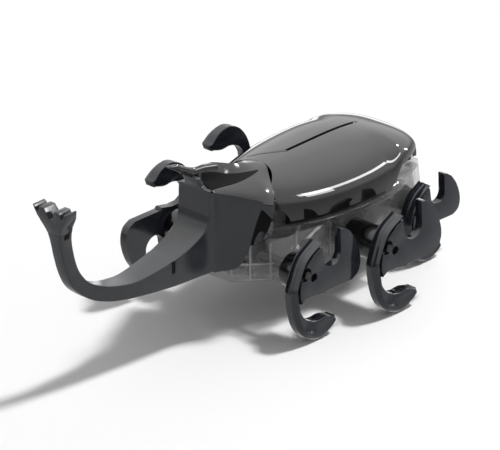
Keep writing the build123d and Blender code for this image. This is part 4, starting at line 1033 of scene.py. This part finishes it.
def curved_sheet(outline, sink, thick, side):
    """A sheet inside an outline of (along, up), bent to the head's plan and thickened inwards."""
    bm = filled([Vector((0, along, up)) for along, up in outline])
    sliced(bm, CHEEK_TOP[-1][0], CHEEK_TOP[0][0], 24)
    thicken(bm, Vector((1, 0, 0)))
    for vert in bm.verts:
        deep = sink + (thick if vert.co.x > 0.5 else 0.0)
        vert.co = spot(side * (lookup(BLADE_WIDTHS, -vert.co.y) - deep), vert.co.y, vert.co.z)
    bmesh.ops.recalc_face_normals(bm, faces=bm.faces)
    return bm


def cheek(name, side):
    """Flared side of the head, with the cut-out for its dark window."""
    top = [(p.x, p.y) for p in flat_line(CHEEK_TOP, 14)]
    outline = CHEEK_EDGE[:CHEEK_STEP] + WINDOW[1:] + [CHEEK_REAR] + top
    bm = curved_sheet(outline, 0.0, 1.1, side)
    edges = [e for e in bm.edges if e.calc_face_angle(0) > math.radians(40)]
    bevel(bm, edges, 0.12 * MM)
    piece(name, bm, "head_black", "chassis", ["head_shell"] if side > 0 else ())


def window(name, side):
    """Painted shade: a near-black panel set into the cheek's cut-out, with the rounded lobe in its lower
    corner.
    """
    outline = [(a - 0.5, u) for a, u in WINDOW[:6]] + WINDOW_REAR + CHEEK_EDGE[:CHEEK_STEP - 1:-1]
    bm = curved_sheet(outline, 0.7, 0.5, side)
    piece(name, bm, "hub_black", "chassis", finish=PAINTED_SHADE_BLACK)
    lobe = [(p.x, p.y) for p in flat_line(LOBE, 16)]
    bm = curved_sheet(lobe + [LOBE_FOOT], 0.45, 0.4, side)
    piece(name + "_lobe", bm, "head_black", "chassis")


def shade_patch(name, corners):
    """A thin near-black patch, nearly flush with the surface: painted shade where the surface is cut in.
    """
    bm = filled(corners)
    normal = (corners[1] - corners[0]).cross(corners[2] - corners[1]).normalized()
    bmesh.ops.translate(bm, verts=bm.verts, vec=normal * 0.03 * MM)
    thicken(bm, normal * -0.3 * MM)
    piece(name, bm, "hub_black", "chassis", finish=PAINTED_SHADE_BLACK)


def horn_recess_shades():
    """Painted shade for a slot and a recess on each side of the horn."""
    for side_name, side in SIDES:
        for label, along, up, long, high in HORN_RECESS_SHADES:
            corners = []
            for step_along, step_up in ((-1, -1), (1, -1), (1, 1), (-1, 1)):
                a, u = along + step_along * long / 2, up + step_up * high / 2
                corners.append(spot(side * blade_half_width(a, u), a, u))
            shade_patch(f"horn_{label}_{side_name}", corners[::side])


# ---------------------------------------------------------------- hubs
HUB_ROUND = 0.2


def softened(name, node, slot):
    """The CAD node's own shape with rounded edges."""
    bm = bmesh.new()
    bm.from_mesh(frame["nodes"][node].data)
    bmesh.ops.remove_doubles(bm, verts=bm.verts, dist=2e-6)
    bmesh.ops.dissolve_limit(
        bm, angle_limit=math.radians(1.5), verts=bm.verts, edges=bm.edges, use_dissolve_boundaries=False,
    )
    sharp = [e for e in bm.edges if len(e.link_faces) == 2 and e.calc_face_angle(0) > math.radians(28)]
    bevel(bm, sharp, HUB_ROUND * MM, 3)
    body = frame["nodes"][node]["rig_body"]
    piece(name, bm, slot, body, [node])


horn_band()
horn_fork()
slide_tab()
for side_name, side_sign in SIDES:
    cheek(f"head_cheek_{side_name}", side_sign)
    window(f"head_window_{side_name}", side_sign)
horn_recess_shades()
for axle_name in AXLES:
    for side_name, _ in SIDES:
        softened(f"{axle_name}_{side_name}_drum", f"{axle_name}_{side_name}_hub", "hub_black")


# ---------------------------------------------------------------- floor, backdrop and lamps
FLOOR_SIZE = 3.0
FLOOR_NEAR, FLOOR_FAR = 0.08, 0.22
LAMP_TARGET = spot(0, 15, 20)


def white_floor():
    """A pale floor that keeps the robot's shadow and fades to white away from it."""
    mesh = bpy.data.meshes.new("floor")
    bm = bmesh.new()
    bmesh.ops.create_grid(bm, x_segments=1, y_segments=1, size=FLOOR_SIZE)
    bm.to_mesh(mesh)
    bm.free()
    floor = bpy.data.objects.new("floor", mesh)
    bpy.context.scene.collection.objects.link(floor)
    finish = Finish("floor_white")
    finish.set(Base_Color=grey(0.86), Roughness=0.6)
    reach = finish.node("ShaderNodeVectorMath", {"operation": "LENGTH"}, finish.place(), output="Value")
    seen = finish.node("ShaderNodeLightPath", output="Is Camera Ray")
    white = finish.node("ShaderNodeEmission", None, grey(1.0), 1.0)
    plain = Signal(finish, finish.shader.outputs[0])
    far_off = reach.between(FLOOR_NEAR, FLOOR_FAR) * seen
    mixed_floor = finish.node("ShaderNodeMixShader", None, far_off, plain, white)
    finish.feed(finish.output.inputs["Surface"], mixed_floor)
    mesh.materials.append(finish.material)
    floor.visible_glossy = False


# Sine of the elevation, then the brightness that the gloss picks up from there.
SKY_BANDS = ((-1.0, 0.35), (-0.5, 0.6), (-0.15, 0.4), (0.0, 0.35), (0.12, 0.95), (0.6, 1.15), (1.0, 1.9))
GLOSS_STRENGTH = 1.3
DIFFUSE_STRENGTH = 0.36


def white_world():
    """White to the eye; a studio with a dim horizon and a bright ceiling to the gloss."""
    world = bpy.data.worlds.new("studio")
    bpy.context.scene.world = world
    world.use_nodes = True
    tree = world.node_tree
    path = tree.nodes.new("ShaderNodeLightPath")
    place = tree.nodes.new("ShaderNodeTexCoord")
    split = tree.nodes.new("ShaderNodeSeparateXYZ")
    ramp = tree.nodes.new("ShaderNodeValToRGB")
    height = tree.nodes.new("ShaderNodeMapRange")
    height.inputs["From Min"].default_value = -1.0
    tree.links.new(place.outputs["Generated"], split.inputs[0])
    tree.links.new(split.outputs["Z"], height.inputs["Value"])
    tree.links.new(height.outputs[0], ramp.inputs[0])
    while len(ramp.color_ramp.elements) < len(SKY_BANDS):
        ramp.color_ramp.elements.new(0.5)
    brightest = max(value for _, value in SKY_BANDS)
    for stop, (up, value) in zip(ramp.color_ramp.elements, SKY_BANDS):
        stop.position = (up + 1) / 2
        stop.color = grey(value / brightest)
    glossy = tree.nodes.new("ShaderNodeBackground")
    glossy.inputs["Strength"].default_value = brightest * GLOSS_STRENGTH
    tree.links.new(ramp.outputs["Color"], glossy.inputs["Color"])
    diffuse = tree.nodes["Background"]
    diffuse.inputs["Color"].default_value = grey(1.0)
    diffuse.inputs["Strength"].default_value = DIFFUSE_STRENGTH
    white = tree.nodes.new("ShaderNodeBackground")
    white.inputs["Color"].default_value = grey(1.0)
    seen = tree.nodes.new("ShaderNodeMath")
    seen.operation = "MAXIMUM"
    tree.links.new(path.outputs["Is Camera Ray"], seen.inputs[0])
    tree.links.new(path.outputs["Is Transmission Ray"], seen.inputs[1])
    first = tree.nodes.new("ShaderNodeMixShader")
    tree.links.new(path.outputs["Is Glossy Ray"], first.inputs[0])
    tree.links.new(diffuse.outputs[0], first.inputs[1])
    tree.links.new(glossy.outputs[0], first.inputs[2])
    second = tree.nodes.new("ShaderNodeMixShader")
    tree.links.new(seen.outputs[0], second.inputs[0])
    tree.links.new(first.outputs[0], second.inputs[1])
    tree.links.new(white.outputs[0], second.inputs[2])
    tree.links.new(second.outputs[0], tree.nodes["World Output"].inputs["Surface"])


def softbox(name, azimuth, elevation, distance, size, power, lights="all"):
    """A rectangular lamp that faces the robot; azimuth 0 is in front, 90 on its left.

    It lights all, or only the floor and other dull surfaces, or only shows in the gloss.
    """
    data = bpy.data.lights.new(name, "AREA")
    data.shape = "RECTANGLE"
    data.size, data.size_y = size
    data.energy = power
    lamp = bpy.data.objects.new(name, data)
    bpy.context.scene.collection.objects.link(lamp)
    turn, rise = math.radians(azimuth), math.radians(elevation)
    away = Vector((math.sin(turn) * math.cos(rise), -math.cos(turn) * math.cos(rise), math.sin(rise)))
    lamp.visible_glossy = lights != "floor"
    lamp.visible_diffuse = lights != "gloss"
    lamp.location = LAMP_TARGET + away * distance
    lamp.rotation_euler = away.to_track_quat("Z", "Y").to_euler()


white_floor()
white_world()
softbox("key", 148, 66, 0.9, (0.12, 0.12), 7.6, "floor")
softbox("long_strip", 124, 22, 0.8, (0.75, 0.08), 2.4, "gloss")
softbox("strip_end", 108, 19, 0.8, (0.2, 0.16), 1.0, "gloss")
softbox("far_rim", -134, -8, 0.8, (0.6, 0.12), 0.3, "gloss")
softbox("rear_spot", 180, 27, 0.8, (0.05, 0.05), 0.8, "gloss")
softbox("rear_line", 172, 6, 0.8, (0.02, 0.12), 0.3, "gloss")

bpy.context.scene.view_settings.view_transform = "Standard"
